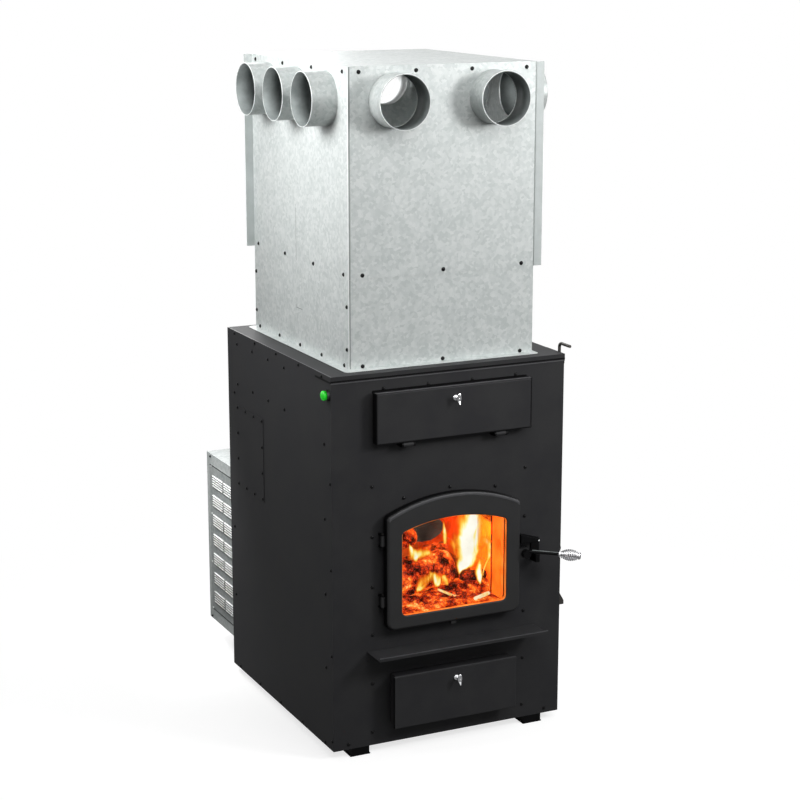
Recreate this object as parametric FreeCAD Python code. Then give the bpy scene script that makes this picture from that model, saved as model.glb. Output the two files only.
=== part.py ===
import os

import FreeCAD
import Part
from math import atan2, cos, pi, sin, sqrt, tan

V = FreeCAD.Vector

# Driving dimensions in millimetres. The front face is y = 0, the middle x = 0 and the floor z = 0
# until the whole furnace is moved so that its origin lies under the middle of its box.

# Cabinet
CABINET_W = 734.0
CABINET_D = 792.0
CABINET_H = 1094.0
SHEET = 1.5
CORNER_FLANGE = 17.0
PAN_LIP = 30.0
TOP_SKIRT = 20.0
TRIM_H = 18.5
TRIM_RETURN = 104.0

# Foot rails
FOOT_H = 26.0
FOOT_W = 56.0
FOOT_LIP = 3.0
FOOT_GAUGE = 3.0
FOOT_X = 282.0
FOOT_INSET = 3.0

# Screws
SCREW_R = 4.2
SCREW_TOP_R = 3.0
SCREW_H = 3.6
DUCT_SCREW_R = 4.6
SIDE_SCREW_INSET = 60.0
TOP_SCREW_RISE = 9.4
LOW_SCREW_RISE = 8.0
SIDE_SCREW_Y = 49.0
SIDE_SCREW_Z = (266.0, 485.0, 705.0, 921.0)
REAR_SCREW_INSET = 32.0
REAR_SCREW_Z = (266.0, 490.0)
CORNER_SCREW_Y = 9.0
CORNER_SCREW_Z = (55.0, 312.0, 566.0, 816.0)
DOOR_SCREW_GAP = 32.0
DOOR_SCREW_Z = (66.0, 213.0, 360.0, 649.5, 796.0)
HINGE_SCREW_Z = 502.0
FOOT_SCREW_X = 320.0
FOOT_SCREW_RISE = 15.0
CROWN_SCREW_X = 146.0
CROWN_SCREW_Z = 752.0
CROWN_TOP_SCREW_Z = 767.5
HEADER_SCREW_X = 208.0
HEADER_SCREW_DROP = 46.0
BACK_SCREW_INSET = 40.0
BACK_SCREW_RISE = 10.0
PLATE_SCREW_Y = (336.5, 461.0, 586.0, 711.0)
PLATE_SCREW_Z = (957.0, 1081.0)
PLATE_END_SCREW = (740.0, 925.0)

# Wiring cover on the left side
COVER_BACK_INSET = 70.0
COVER_D = 217.0
COVER_Y = (CABINET_D - COVER_BACK_INSET - COVER_D, CABINET_D - COVER_BACK_INSET)
COVER_Z = (633.0, 892.0)
COVER_SCREW_INSET = 9.0

# Fittings
RUNNING = 0.05
FACE_GAP = 0.3
PLAY = 0.4
EDGE_CLEAR = 1.0

# Firebox
PLATE = 5.0
FIREBOX_HALF_W = 245.0
FIREBOX_FRONT = 70.0
FIREBOX_REAR_GAP = 132.0
FIREBOX_Y = (FIREBOX_FRONT, CABINET_D - FIREBOX_REAR_GAP)
FIREBOX_Z = (300.0, 800.0)
BRICK = 32.0
BRICK_W = 115.0
BRICK_JOINT = 1.0
BRICK_TOP = 600.0
CHUTE_HALF_W = 80.0
CHUTE_Y = (200.0, 330.0)
AIR_TUBE_R = 14.0
AIR_TUBE_WALL = 2.0
AIR_TUBE_COUNT = 4
BAFFLE_Z = 700.0
BAFFLE_THICK = 25.0
BAFFLE_FRONT_GAP = 95.0

# Heat exchanger
EXCHANGER_WALL = 3.0
EXCHANGER_HALF_W = 240.0
EXCHANGER_Z = (880.0, 1085.0)
FRONT_HEADER_D = 130.0
REAR_HEADER_GAP = 52.0
REAR_HEADER_D = 100.0
REAR_HEADER_Y = (CABINET_D - REAR_HEADER_GAP - REAR_HEADER_D, CABINET_D - REAR_HEADER_GAP)
SMOKE_TUBE_R = 60.0
SMOKE_TUBE_PITCH = 150.0
SMOKE_TUBE_Z = 985.0
RISER_HALF_W = 145.0
RISER_Y = (80.0, 125.0)
FLUE_BORE_R = 76.2
FLUE_WALL = 2.5
FLUE_STUB = 75.0

# Clean-out door, hinged along its lower edge
CLEANOUT_HALF_W = 243.5
CLEANOUT_Z = (921.5, 1067.5)
CLEANOUT_FACE_Y = -32.0
CLEANOUT_BACK_Y = -8.0
CLEANOUT_SHEET = 2.5
CLEANOUT_LIP = 20.0
CLEANOUT_ROUND = 5.0
CLEANOUT_PORT_HALF_W = 215.0
CLEANOUT_PORT_Z = (945.0, 1045.0)
CLEANOUT_HINGE_X = 146.0
CLEANOUT_HINGE_Y = -27.0
CLEANOUT_KNOB_DROP = 33.5
ROPE_W = 12.0

# Knuckle hinges of both doors
KNUCKLE_R = 6.5
KNUCKLE_LEN = 30.0
KNUCKLE_EAR = 5.0
KNUCKLE_EDGE_GAP = 1.0
HINGE_PIN_R = 4.0
WEB_T = 5.0

# Wing knobs
KNOB_FLANGE_R = 9.0
KNOB_FLANGE_T = 4.0
KNOB_NECK_R = 5.0
KNOB_NECK_L = 9.0
KNOB_SPINDLE_R = 6.0
KNOB_WING_H = 36.0
KNOB_WING_D = 17.0
KNOB_WING_T = 5.5
KNOB_BOSS_R = 14.0
KNOB_BOSS_L = 8.0
KNOB_RETAINER_T = 2.5

# Feed door, arched, hinged on its left edge
DOOR = {"half": 212.0, "bottom": 375.0, "corner": 708.0, "apex": 758.0}
DOOR_FACE_Y = -36.0
DOOR_BACK_Y = -8.0
DOOR_LOW_R = 25.0
DOOR_HIGH_R = 14.0
DOOR_RIM_R = 8.0
DOOR_STILE = 45.0
DOOR_SILL = 40.0
DOOR_SHOULDER = 47.0
DOOR_CROWN = 68.0
WINDOW = {"half": DOOR["half"] - DOOR_STILE, "bottom": DOOR["bottom"] + DOOR_SILL,
          "corner": DOOR["corner"] - DOOR_SHOULDER, "apex": DOOR["apex"] - DOOR_CROWN}
THROAT_SIDE_LAP = 37.0
THROAT_LOW_LAP = 28.0
THROAT_HIGH_LAP = 21.0
THROAT_HALF_W = DOOR["half"] - THROAT_SIDE_LAP
THROAT_Z = (DOOR["bottom"] + THROAT_LOW_LAP, DOOR["corner"] - THROAT_HIGH_LAP)
WINDOW_R = 15.0
WINDOW_EDGE_R = 3.0
GLASS_LAP = 12.0
GLASS_T = 5.0
GLASS_PLAY = 1.0
GLASS_TAPE_T = 0.8
GLASS_SEAT_Y = -22.8
CLIP_LEDGE = 12.0
CLIP_W = 36.0
CLIP_T = 3.0
DOOR_ROPE_INSET = 8.0
DOOR_ROPE_W = 10.0
NUB_W = 16.0
NUB_H = 9.0

DOOR_HINGE_Y = -16.0
DOOR_HINGE_Z = (460.0, 640.0)

# Handle, latch and catch
HANDLE_OFFSET = 16.0
HANDLE_X = DOOR["half"] + HANDLE_OFFSET
HANDLE_Z = 548.0
HANDLE_PIN_R = 6.0
HANDLE_HUB_R = 13.0
HANDLE_HUB_L = 14.0
HANDLE_LUG_R = 16.0
HANDLE_LUG_T = 12.0
HANDLE_ROD_R = 4.5
HANDLE_SPLAY_DEG = 23.0
HANDLE_DROOP_DEG = 6.0
HANDLE_ROD_RISE = 8.0
TONGUE_LEN = 30.0
TONGUE_HALF_H = 5.0
TONGUE_T = 7.5
GRIP_START = 93.0
GRIP_WIRE = 4.4
GRIP_PITCH = 5.2
GRIP_TURNS = 9
GRIP_END_R = 8.5
GRIP_MID_R = 15.8
FERRULE_R = 10.0
FERRULE_L = 6.0
CATCH_PLATE_T = 4.0
CATCH_PLATE_W = 28.0
CATCH_GAP = 20.0
CATCH_DEPTH = 34.0
CATCH_WEDGE_H = 26.0
CATCH_LIFT = 29.0
CATCH_BLOCK_W = 14.0
CATCH_BLOCK_H = 24.0
CATCH_BLOCK_DROP = 10.0

# Ash drawer and shelf
ASH_HALF_W = 187.0
ASH_Z = (86.0, 236.0)
ASH_FRONT_Y = -40.0
ASH_REAR_GAP = 272.0
ASH_BACK_Y = CABINET_D - ASH_REAR_GAP
ASH_WALL = 3.0
ASH_PAN_SIDE_GAP = 6.0
ASH_PAN_WALL = 2.0
ASH_PAN_H = 110.0
ASH_PAN_BACK_GAP = 12.0
ASH_COVER_HALF_W = 197.0
ASH_COVER_MARGIN = 3.0
ASH_COVER_T = 7.7
ASH_COVER_SHEET = 2.5
ASH_COVER_ROUND = 2.5
ASH_KNOB_DROP = 30.0
SHELF_X = (-261.0, 281.0)
SHELF_D = 85.0
SHELF_Z = 309.0
SHELF_T = 2.5
SHELF_LIP = 11.0
SHELF_FLANGE = 24.0

# Plenum
GALV = 1.0
PLENUM_X = 8.0
PLENUM_W = 580.0
PLENUM_SETBACK = 65.0
PLENUM_REAR_GAP = 22.0
PLENUM_D = CABINET_D - PLENUM_SETBACK - PLENUM_REAR_GAP
PLENUM_H = 830.0
PLENUM_JOINT = 251.5
PLENUM_LAP = 22.0
PLENUM_SEAM = 25.0
PLENUM_SEAM_STEP = 2.0
PLENUM_SKIRT = 28.0
BASE_FLANGE_SIDE = 25.0
BASE_FLANGE_FRONT = 33.0
BASE_FLANGE_BACK = 4.0
BASE_FLANGE_RIGHT = 6.0
BASE_FLANGE_ROUND = 16.0
COLLAR_R = 75.0
COLLAR_WALL = 1.2
COLLAR_STEP = 0.8
COLLAR_L = 76.0
COLLAR_TAB = 8.0
COLLAR_TAB_COUNT = 12
COLLAR_TAB_SLOT = 6.0
COLLAR_DROP = 94.0
SIDE_COLLAR_PITCH = 209.5
FRONT_COLLAR_PITCH = 309.0
TOP_SCREW_DROP = 15.0
JOINT_SCREW_RISE = 10.5
BASE_SCREW_RISE = 6.5
PLENUM_SIDE_SCREW_INSET = 36.0
PLENUM_FRONT_SCREW_INSET = 17.0
PLENUM_REAR_SCREW_INSET = 11.0
PLENUM_CORNER_SCREW_RISE = (53.6, 173.6)
PLENUM_TOP_SCREW_INSET = 32.0
PLENUM_JOINT_SCREW_INSET = 41.0

# Blower box on the back
BLOWER_HALF_W = 335.0
BLOWER_D = 301.0
BLOWER_Z = (83.0, 651.0)
BLOWER_SHEET = 1.2
GRILLE_MARGIN_Y = (22.0, 26.0)
GRILLE_MARGIN_Z = 34.0
GRILLE_LAP = 14.0
GRILLE_ROWS = 7
GRILLE_COLUMNS = 2
GRILLE_SLOTS = 5
GRILLE_ROW_PITCH = 66.0
GRILLE_SLOT_PITCH = 8.2
GRILLE_SLOT_H = 4.0
GRILLE_SLOT_W = 92.0
GRILLE_COLUMN_GAP = 9.0
LOUVRE_PROUD = 5.0
FILTER_T = 20.0
SCROLL_R = 140.0
SCROLL_HALF_W = 90.0
SCROLL_OUTLET_H = 110.0
SCROLL_INLET_R = 85.0
SCROLL_AXIS_GAP = 153.0
SCROLL_AXIS_Y = CABINET_D + SCROLL_AXIS_GAP
SCROLL_FOOT_T = 6.0
WHEEL_R = 110.0
WHEEL_HALF_W = 70.0
WHEEL_RING = 16.0
WHEEL_DISC_T = 3.0
BLADE_COUNT = 24
BLADE_T = 1.5
SHAFT_R = 6.0
HUB_R = 18.0
MOTOR_R = 60.0
MOTOR_L = 110.0
MOTOR_STANDOFF = 14.0
MOTOR_ARM = 10.0

# Lit push-button
BUTTON_Y = 20.0
BUTTON_Z = 1066.5
BUTTON_R = 12.5
BUTTON_PLAY = 0.5
BUTTON_STEM_R = 5.0
BUTTON_STEM_L = 12.0
BUTTON_TRAVEL = 4.0
BEZEL_WALL = 3.5
BEZEL_H = 8.0
BEZEL_FLOOR = 2.0

# Ash rake on the right side
RAKE_ROD_R = 4.5
RAKE_OFFSET = 14.0
RAKE_Y = 52.0
RAKE_TOP = 1141.0
RAKE_HANDLE = 60.0
RAKE_BEND_R = 12.0
RAKE_BLADE_H = 50.0
RAKE_BLADE_T = 3.0
RAKE_BLADE_OUT = 30.0
RAKE_BLADE_IN = 8.0
RAKE_BLADE_EDGE = 12.0
RAKE_BLADE_Z = 339.0
RAKE_COLLAR_R = 9.0
RAKE_COLLAR_H = 8.0
CLIP_Z = (1085.0, 520.0)
CLIP_PRONG = 26.0
CLIP_PRONG_T = 5.0
CLIP_H = 8.0

# Derived places
HALF_W = CABINET_W / 2
TOP = FOOT_H + CABINET_H
PLENUM_LEFT = PLENUM_X - PLENUM_W / 2
PLENUM_RIGHT = PLENUM_X + PLENUM_W / 2
PLENUM_BACK = PLENUM_SETBACK + PLENUM_D
PLENUM_MID_Y = PLENUM_SETBACK + PLENUM_D / 2
PLENUM_SPLIT = TOP + PLENUM_JOINT
PLENUM_TOP = TOP + PLENUM_H
COLLAR_Z = PLENUM_TOP - COLLAR_DROP
BLOWER_BACK = CABINET_D + BLOWER_D
SCROLL_AXIS_Z = BLOWER_Z[0] + BLOWER_SHEET + SCROLL_R
CLEANOUT_HINGE_Z = CLEANOUT_Z[0] - KNUCKLE_R - KNUCKLE_EDGE_GAP
DOOR_HINGE_X = -DOOR["half"] - KNUCKLE_R - KNUCKLE_EDGE_GAP

nodes = {}


def box(x, y, z):
    return Part.makeBox(x[1] - x[0], y[1] - y[0], z[1] - z[0], V(x[0], y[0], z[0]))


def rod(radius, start, end):
    axis = end - start
    return Part.makeCylinder(radius, axis.Length, start, axis)


def pipe(outer, inner, start, end):
    return rod(outer, start, end).cut(rod(inner, start, end))


def fuse(shapes):
    whole = shapes[0]
    if len(shapes) > 1:
        whole = whole.multiFuse(shapes[1:])
    return whole.removeSplitter()


def prism_y(points, y):
    corners = [V(px, y[0], pz) for px, pz in points]
    face = Part.Face(Part.makePolygon(corners + corners[:1]))
    return face.extrude(V(0, y[1] - y[0], 0))


def add(name, *shapes):
    solids = []
    for shape in shapes:
        solids.extend(shape.Solids)
    nodes.setdefault(name, []).extend(solids)


def mirrored_x(x):
    return (-x[1], -x[0])


# Arched outlines of the feed door
def arch_radius(outline):
    rise = outline["apex"] - outline["corner"]
    return (outline["half"] ** 2 + rise ** 2) / (2 * rise)


def grown(outline, d):
    radius = arch_radius(outline)
    centre = outline["apex"] - radius
    half = outline["half"] + d
    corner = centre + sqrt((radius + d) ** 2 - half ** 2)
    return {"half": half, "bottom": outline["bottom"] - d, "corner": corner, "apex": outline["apex"] + d}


def arch_block(outline, y, low_r, high_r):
    h = outline["half"]
    low_left = V(-h, y[0], outline["bottom"])
    low_right = V(h, y[0], outline["bottom"])
    high_right = V(h, y[0], outline["corner"])
    high_left = V(-h, y[0], outline["corner"])
    crown = Part.Arc(high_right, V(0, y[0], outline["apex"]), high_left).toShape()
    edges = [Part.makeLine(low_left, low_right), Part.makeLine(low_right, high_right), crown]
    edges.append(Part.makeLine(high_left, low_left))
    block = Part.Face(Part.Wire(edges)).extrude(V(0, y[1] - y[0], 0))
    for level, radius in ((outline["bottom"], low_r), (outline["corner"], high_r)):
        corners = []
        for edge in block.Edges:
            size = edge.BoundBox
            if size.YLength > 0.5 * (y[1] - y[0]) and size.ZLength < 0.01 and abs(size.ZMin - level) < 0.01:
                corners.append(edge)
        block = block.makeFillet(radius, corners)
    return block


def edges_at_y(solid, y, inside=None):
    found = []
    for edge in solid.Edges:
        size = edge.BoundBox
        if abs(size.YMin - y) > 0.01 or abs(size.YMax - y) > 0.01:
            continue
        if inside is not None:
            wide = max(abs(size.XMin), abs(size.XMax)) > inside["half"] + 1
            tall = size.ZMax > inside["apex"] + 1 or size.ZMin < inside["bottom"] - 1
            if wide or tall:
                continue
        found.append(edge)
    return found


# Cabinet panels, screwed together along inner flanges
def cabinet():
    inner = HALF_W - SHEET
    depth = (SHEET, CABINET_D - SHEET)
    pan = box((-inner, inner), depth, (FOOT_H, FOOT_H + PAN_LIP))
    hollow = (depth[0] + SHEET, depth[1] - SHEET)
    pan = pan.cut(box((-inner + SHEET, inner - SHEET), hollow, (FOOT_H + SHEET, FOOT_H + PAN_LIP)))
    add("base_pan", pan)

    rails = []
    half = FOOT_W / 2
    g = FOOT_GAUGE
    for side in (-1, 1):
        x = side * FOOT_X
        section = [(x - half - FOOT_LIP, 0), (x - half + g, 0), (x - half + g, FOOT_H - g)]
        section += [(x + half - g, FOOT_H - g), (x + half - g, 0), (x + half + FOOT_LIP, 0)]
        section += [(x + half + FOOT_LIP, g), (x + half, g), (x + half, FOOT_H)]
        section += [(x - half, FOOT_H), (x - half, g), (x - half - FOOT_LIP, g)]
        rail = prism_y(section, (FOOT_INSET, CABINET_D - FOOT_INSET))
        end = box((x - half, x + half), (FOOT_INSET, FOOT_INSET + g), (0, FOOT_H))
        rails.append(fuse([rail, end]))
    add("feet", *rails)

    side_z = (FOOT_H, TOP - SHEET)
    for name, side in (("left_side_panel", -1), ("right_side_panel", 1)):
        wall_x = (-HALF_W, -inner)
        flange_x = (-HALF_W, -HALF_W + CORNER_FLANGE)
        if side > 0:
            wall_x = mirrored_x(wall_x)
            flange_x = mirrored_x(flange_x)
        panel = fuse([box(wall_x, (0, CABINET_D), side_z), box(flange_x, (0, SHEET), side_z)])
        if side < 0:
            ends = (V(-HALF_W, BUTTON_Y, BUTTON_Z), V(-inner, BUTTON_Y, BUTTON_Z))
            stem = rod(BUTTON_STEM_R + EDGE_CLEAR, *ends)
            lap = 2 * COVER_SCREW_INSET
            window = box(wall_x, (COVER_Y[0] + lap, COVER_Y[1] - lap), (COVER_Z[0] + lap, COVER_Z[1] - lap))
            panel = panel.cut(stem).cut(window)
        add(name, panel)

    back = box((-inner, inner), (CABINET_D - SHEET, CABINET_D), side_z)
    flue_r = FLUE_BORE_R + FLUE_WALL + EDGE_CLEAR
    back = back.cut(rod(flue_r, V(0, CABINET_D - SHEET, SMOKE_TUBE_Z), V(0, CABINET_D, SMOKE_TUBE_Z)))
    outlet_z = (SCROLL_AXIS_Z + SCROLL_R - SCROLL_OUTLET_H, SCROLL_AXIS_Z + SCROLL_R)
    outlet_z = (outlet_z[0] + BLOWER_SHEET, outlet_z[1] - BLOWER_SHEET)
    outlet_x = SCROLL_HALF_W - BLOWER_SHEET
    back = back.cut(box((-outlet_x, outlet_x), (CABINET_D - SHEET, CABINET_D), outlet_z))
    add("back_panel", back)

    lid = box((-HALF_W, HALF_W), (0, CABINET_D), (TOP - SHEET, TOP))
    skirt_z = (TOP - SHEET - TOP_SKIRT, TOP - SHEET)
    left_skirt = (-inner, -inner + SHEET)
    skirts = [box(left_skirt, depth, skirt_z), box(mirrored_x(left_skirt), depth, skirt_z)]
    skirts.append(box((-inner + SHEET, inner - SHEET), (depth[1] - SHEET, depth[1]), skirt_z))
    vent_x = (PLENUM_LEFT + PLENUM_LAP, PLENUM_RIGHT - PLENUM_LAP)
    vent_y = (PLENUM_SETBACK + PLENUM_LAP, PLENUM_BACK - PLENUM_LAP)
    add("top_panel", fuse([lid] + skirts).cut(box(vent_x, vent_y, (TOP - SHEET, TOP))))

    front_x = HALF_W - CORNER_FLANGE
    front = box((-front_x, front_x), (0, SHEET), side_z)
    ports = [((-THROAT_HALF_W, THROAT_HALF_W), THROAT_Z)]
    ports.append(((-CLEANOUT_PORT_HALF_W, CLEANOUT_PORT_HALF_W), CLEANOUT_PORT_Z))
    ash_x = ASH_HALF_W + EDGE_CLEAR
    ports.append(((-ash_x, ash_x), (ASH_Z[0] - EDGE_CLEAR, ASH_Z[1] + EDGE_CLEAR)))
    for port_x, port_z in ports:
        front = front.cut(box(port_x, (0, SHEET), port_z))
    add("front_panel", front)

    outer = HALF_W + SHEET
    trim_z = (TOP - TRIM_H, TOP)
    trim = [box((-outer, outer), (-SHEET, 0), trim_z)]
    trim_left = (-outer, -HALF_W)
    trim.append(box(trim_left, (0, TRIM_RETURN), trim_z))
    trim.append(box(mirrored_x(trim_left), (0, TRIM_RETURN), trim_z))
    add("top_front_trim", fuse(trim))

    add("wiring_cover", box((-HALF_W - SHEET, -HALF_W), COVER_Y, COVER_Z))


# Screw heads, all the same, seated on the faces that they hold
def head(place, outward, radius=SCREW_R):
    return Part.makeCone(radius, radius * SCREW_TOP_R / SCREW_R, SCREW_H, place, outward)


def evenly(low, high, count):
    return [low + (high - low) * i / (count - 1) for i in range(count)]


def cabinet_screws():
    heads = []
    front_x = DOOR["half"] + DOOR_SCREW_GAP
    ahead = V(0, -1, 0)
    for side in (-1, 1):
        face_x = side * HALF_W
        out = V(side, 0, 0)
        for y in evenly(SIDE_SCREW_INSET, CABINET_D - SIDE_SCREW_INSET, 5):
            wrap = SHEET if y < TRIM_RETURN else 0
            heads.append(head(V(face_x + side * wrap, y, TOP - TOP_SCREW_RISE), out))
            heads.append(head(V(face_x, y, FOOT_H + LOW_SCREW_RISE), out))
        for z in SIDE_SCREW_Z:
            heads.append(head(V(face_x, SIDE_SCREW_Y, z), out))
        for z in REAR_SCREW_Z:
            heads.append(head(V(face_x, CABINET_D - REAR_SCREW_INSET, z), out))
        for z in CORNER_SCREW_Z:
            heads.append(head(V(face_x, CORNER_SCREW_Y, z), out))
        for z in DOOR_SCREW_Z:
            heads.append(head(V(side * front_x, 0, z), ahead))
        heads.append(head(V(side * FOOT_SCREW_X, 0, FOOT_H + FOOT_SCREW_RISE), ahead))
        heads.append(head(V(side * CROWN_SCREW_X, 0, CROWN_SCREW_Z), ahead))
    heads.append(head(V(-front_x, 0, HINGE_SCREW_Z), ahead))
    heads.append(head(V(0, 0, CROWN_TOP_SCREW_Z), ahead))
    for x in evenly(-HEADER_SCREW_X, HEADER_SCREW_X, 4):
        heads.append(head(V(x, 0, TOP - HEADER_SCREW_DROP), ahead))
    cover_y = (COVER_Y[0] + COVER_SCREW_INSET, COVER_Y[1] - COVER_SCREW_INSET)
    cover_z = (COVER_Z[0] + COVER_SCREW_INSET, COVER_Z[1] - COVER_SCREW_INSET)
    cover_face = -HALF_W - SHEET
    for y in evenly(cover_y[0], cover_y[1], 4):
        for z in cover_z:
            heads.append(head(V(cover_face, y, z), V(-1, 0, 0)))
    for z in evenly(cover_z[0], cover_z[1], 4)[1:-1]:
        for y in cover_y:
            heads.append(head(V(cover_face, y, z), V(-1, 0, 0)))
    plate_screws = [(y, z) for y in PLATE_SCREW_Y for z in PLATE_SCREW_Z]
    for y, z in plate_screws + [PLATE_END_SCREW]:
        heads.append(head(V(-HALF_W, y, z), V(-1, 0, 0)))
    for x in evenly(-HALF_W + BACK_SCREW_INSET, HALF_W - BACK_SCREW_INSET, 5):
        for z in (FOOT_H + BACK_SCREW_RISE, TOP - BACK_SCREW_RISE):
            heads.append(head(V(x, CABINET_D, z), V(0, 1, 0)))
    add("sheet_screws", *heads)


# Rectangles of a plate around its port
def around(u, v, port_u, port_v):
    strips = [((u[0], port_u[0]), v), ((port_u[1], u[1]), v)]
    return strips + [(port_u, (v[0], port_v[0])), (port_u, (port_v[1], v[1]))]


# Four plates of an open sleeve, given its outside and its plate thickness
def sleeve(u, v, t):
    return around(u, v, (u[0] + t, u[1] - t), (v[0] + t, v[1] - t))


# Firebox: welded from plates on two skirts, with the feed throat, the ash chute and the riser's slot
def firebox():
    inner = FIREBOX_HALF_W - PLATE
    wide = (-FIREBOX_HALF_W, FIREBOX_HALF_W)
    z_in = (FIREBOX_Z[0] + PLATE, FIREBOX_Z[1] - PLATE)
    y_in = (FIREBOX_Y[0] + PLATE, FIREBOX_Y[1] - PLATE)
    chute_x = (-CHUTE_HALF_W, CHUTE_HALF_W)
    throat_x = (-THROAT_HALF_W, THROAT_HALF_W)
    riser_x = (-RISER_HALF_W + EXCHANGER_WALL, RISER_HALF_W - EXCHANGER_WALL)
    riser_y = (RISER_Y[0] + EXCHANGER_WALL, RISER_Y[1] - EXCHANGER_WALL)
    side = (-FIREBOX_HALF_W, -inner)
    plates = [box(x, y, (FIREBOX_Z[0], z_in[0])) for x, y in around(wide, FIREBOX_Y, chute_x, CHUTE_Y)]
    plates += [box(x, y, (z_in[1], FIREBOX_Z[1])) for x, y in around(wide, FIREBOX_Y, riser_x, riser_y)]
    plates += [box(x, (FIREBOX_Y[0], y_in[0]), z) for x, z in around(wide, z_in, throat_x, THROAT_Z)]
    plates.append(box(wide, (y_in[1], FIREBOX_Y[1]), z_in))
    for x in (side, mirrored_x(side)):
        plates.append(box(x, y_in, z_in))
        plates.append(box(x, FIREBOX_Y, (FOOT_H + SHEET, FIREBOX_Z[0])))
    throat_out = (throat_x[0] - PLATE, throat_x[1] + PLATE)
    throat_z = (THROAT_Z[0] - PLATE, THROAT_Z[1] + PLATE)
    plates += [box(x, (SHEET, FIREBOX_Y[0]), z) for x, z in sleeve(throat_out, throat_z, PLATE)]
    chute_out = (chute_x[0] - PLATE, chute_x[1] + PLATE)
    chute_y = (CHUTE_Y[0] - PLATE, CHUTE_Y[1] + PLATE)
    plates += [box(x, y, (ASH_Z[1], FIREBOX_Z[0])) for x, y in sleeve(chute_out, chute_y, PLATE)]
    add("firebox_shell", *plates)

    floor_z = (z_in[0], z_in[0] + BRICK)
    count = int(2 * inner // BRICK_W)
    wide = 2 * inner / count
    rows = int((y_in[1] - y_in[0]) // (2 * BRICK_W)) + 1
    deep = (y_in[1] - y_in[0]) / rows
    gap = BRICK_JOINT / 2
    hole = box((-CHUTE_HALF_W, CHUTE_HALF_W), CHUTE_Y, floor_z)
    bricks = []
    for i in range(count):
        x = (-inner + i * wide + gap, -inner + (i + 1) * wide - gap)
        for j in range(rows):
            y = (y_in[0] + j * deep + gap, y_in[0] + (j + 1) * deep - gap)
            bricks.append(box(x, y, floor_z).cut(hole))
    add("floor_bricks", *bricks)

    wall_z = (floor_z[1], BRICK_TOP)
    side_count = int((y_in[1] - y_in[0]) // BRICK_W)
    step = (y_in[1] - y_in[0]) / side_count
    bricks = []
    left = (-inner, -inner + BRICK)
    for i in range(side_count):
        y = (y_in[0] + i * step + gap, y_in[0] + (i + 1) * step - gap)
        bricks.append(box(left, y, wall_z))
        bricks.append(box(mirrored_x(left), y, wall_z))
    back_half = inner - BRICK
    back_count = int(2 * back_half // BRICK_W)
    step = 2 * back_half / back_count
    for i in range(back_count):
        x = (-back_half + i * step + gap, -back_half + (i + 1) * step - gap)
        bricks.append(box(x, (y_in[1] - BRICK, y_in[1]), wall_z))
    add("wall_bricks", *bricks)

    baffle_y = (y_in[0] + BAFFLE_FRONT_GAP, y_in[1])
    add("baffle_board", box((-inner, inner), baffle_y, (BAFFLE_Z, BAFFLE_Z + BAFFLE_THICK)))
    tubes = []
    tube_z = BAFFLE_Z - AIR_TUBE_R
    for y in evenly(baffle_y[0] + AIR_TUBE_R, baffle_y[1] - 4 * AIR_TUBE_R, AIR_TUBE_COUNT):
        ends = (V(-inner, y, tube_z), V(inner, y, tube_z))
        tubes.append(pipe(AIR_TUBE_R, AIR_TUBE_R - AIR_TUBE_WALL, *ends))
    add("air_tubes", *tubes)


# Heat exchanger: front header behind the clean-out door, smoke tubes, rear header with the flue
def exchanger():
    w = EXCHANGER_WALL
    wide = (-EXCHANGER_HALF_W, EXCHANGER_HALF_W)
    side = (-EXCHANGER_HALF_W, -EXCHANGER_HALF_W + w)
    low_z = (EXCHANGER_Z[0], EXCHANGER_Z[0] + w)
    high_z = (EXCHANGER_Z[1] - w, EXCHANGER_Z[1])
    header_z = (low_z[1], high_z[0])
    front_y = (SHEET, FRONT_HEADER_D)
    port_x = (-CLEANOUT_PORT_HALF_W, CLEANOUT_PORT_HALF_W)
    riser_out = (-RISER_HALF_W, RISER_HALF_W)
    riser_in = (riser_out[0] + w, riser_out[1] - w)
    riser_y = (RISER_Y[0] + w, RISER_Y[1] - w)
    plates = [box(x, y, low_z) for x, y in around(wide, front_y, riser_in, riser_y)]
    plates.append(box(wide, REAR_HEADER_Y, low_z))
    sheets = [box(wide, (front_y[1] - w, front_y[1]), header_z)]
    sheets.append(box(wide, (REAR_HEADER_Y[0], REAR_HEADER_Y[0] + w), header_z))
    for y in (front_y, REAR_HEADER_Y):
        plates.append(box(wide, y, high_z))
        plates += [box(x, (y[0] + w, y[1] - w), header_z) for x in (side, mirrored_x(side))]
    front_plate = (front_y[0], front_y[0] + w)
    plates += [box(x, front_plate, z) for x, z in around(wide, header_z, port_x, CLEANOUT_PORT_Z)]
    plates += [box(x, y, (FIREBOX_Z[1], EXCHANGER_Z[0])) for x, y in sleeve(riser_out, RISER_Y, w)]
    tubes = []
    for x in (-SMOKE_TUBE_PITCH, 0, SMOKE_TUBE_PITCH):
        ends = (V(x, front_y[1] - w, SMOKE_TUBE_Z), V(x, REAR_HEADER_Y[0] + w, SMOKE_TUBE_Z))
        tubes.append(pipe(SMOKE_TUBE_R, SMOKE_TUBE_R - w, *ends))
        sheets = [sheet.cut(rod(SMOKE_TUBE_R, *ends)) for sheet in sheets]
    rear = box(wide, (REAR_HEADER_Y[1] - w, REAR_HEADER_Y[1]), header_z)
    flue_hole = (V(0, REAR_HEADER_Y[1] - w, SMOKE_TUBE_Z), V(0, REAR_HEADER_Y[1], SMOKE_TUBE_Z))
    rear = rear.cut(rod(FLUE_BORE_R - EDGE_CLEAR, *flue_hole))
    add("heat_exchanger", *(plates + sheets + tubes + [rear]))
    ends = (V(0, REAR_HEADER_Y[1], SMOKE_TUBE_Z), V(0, CABINET_D + FLUE_STUB, SMOKE_TUBE_Z))
    add("flue_collar", pipe(FLUE_BORE_R + FLUE_WALL, FLUE_BORE_R, *ends))


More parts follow.
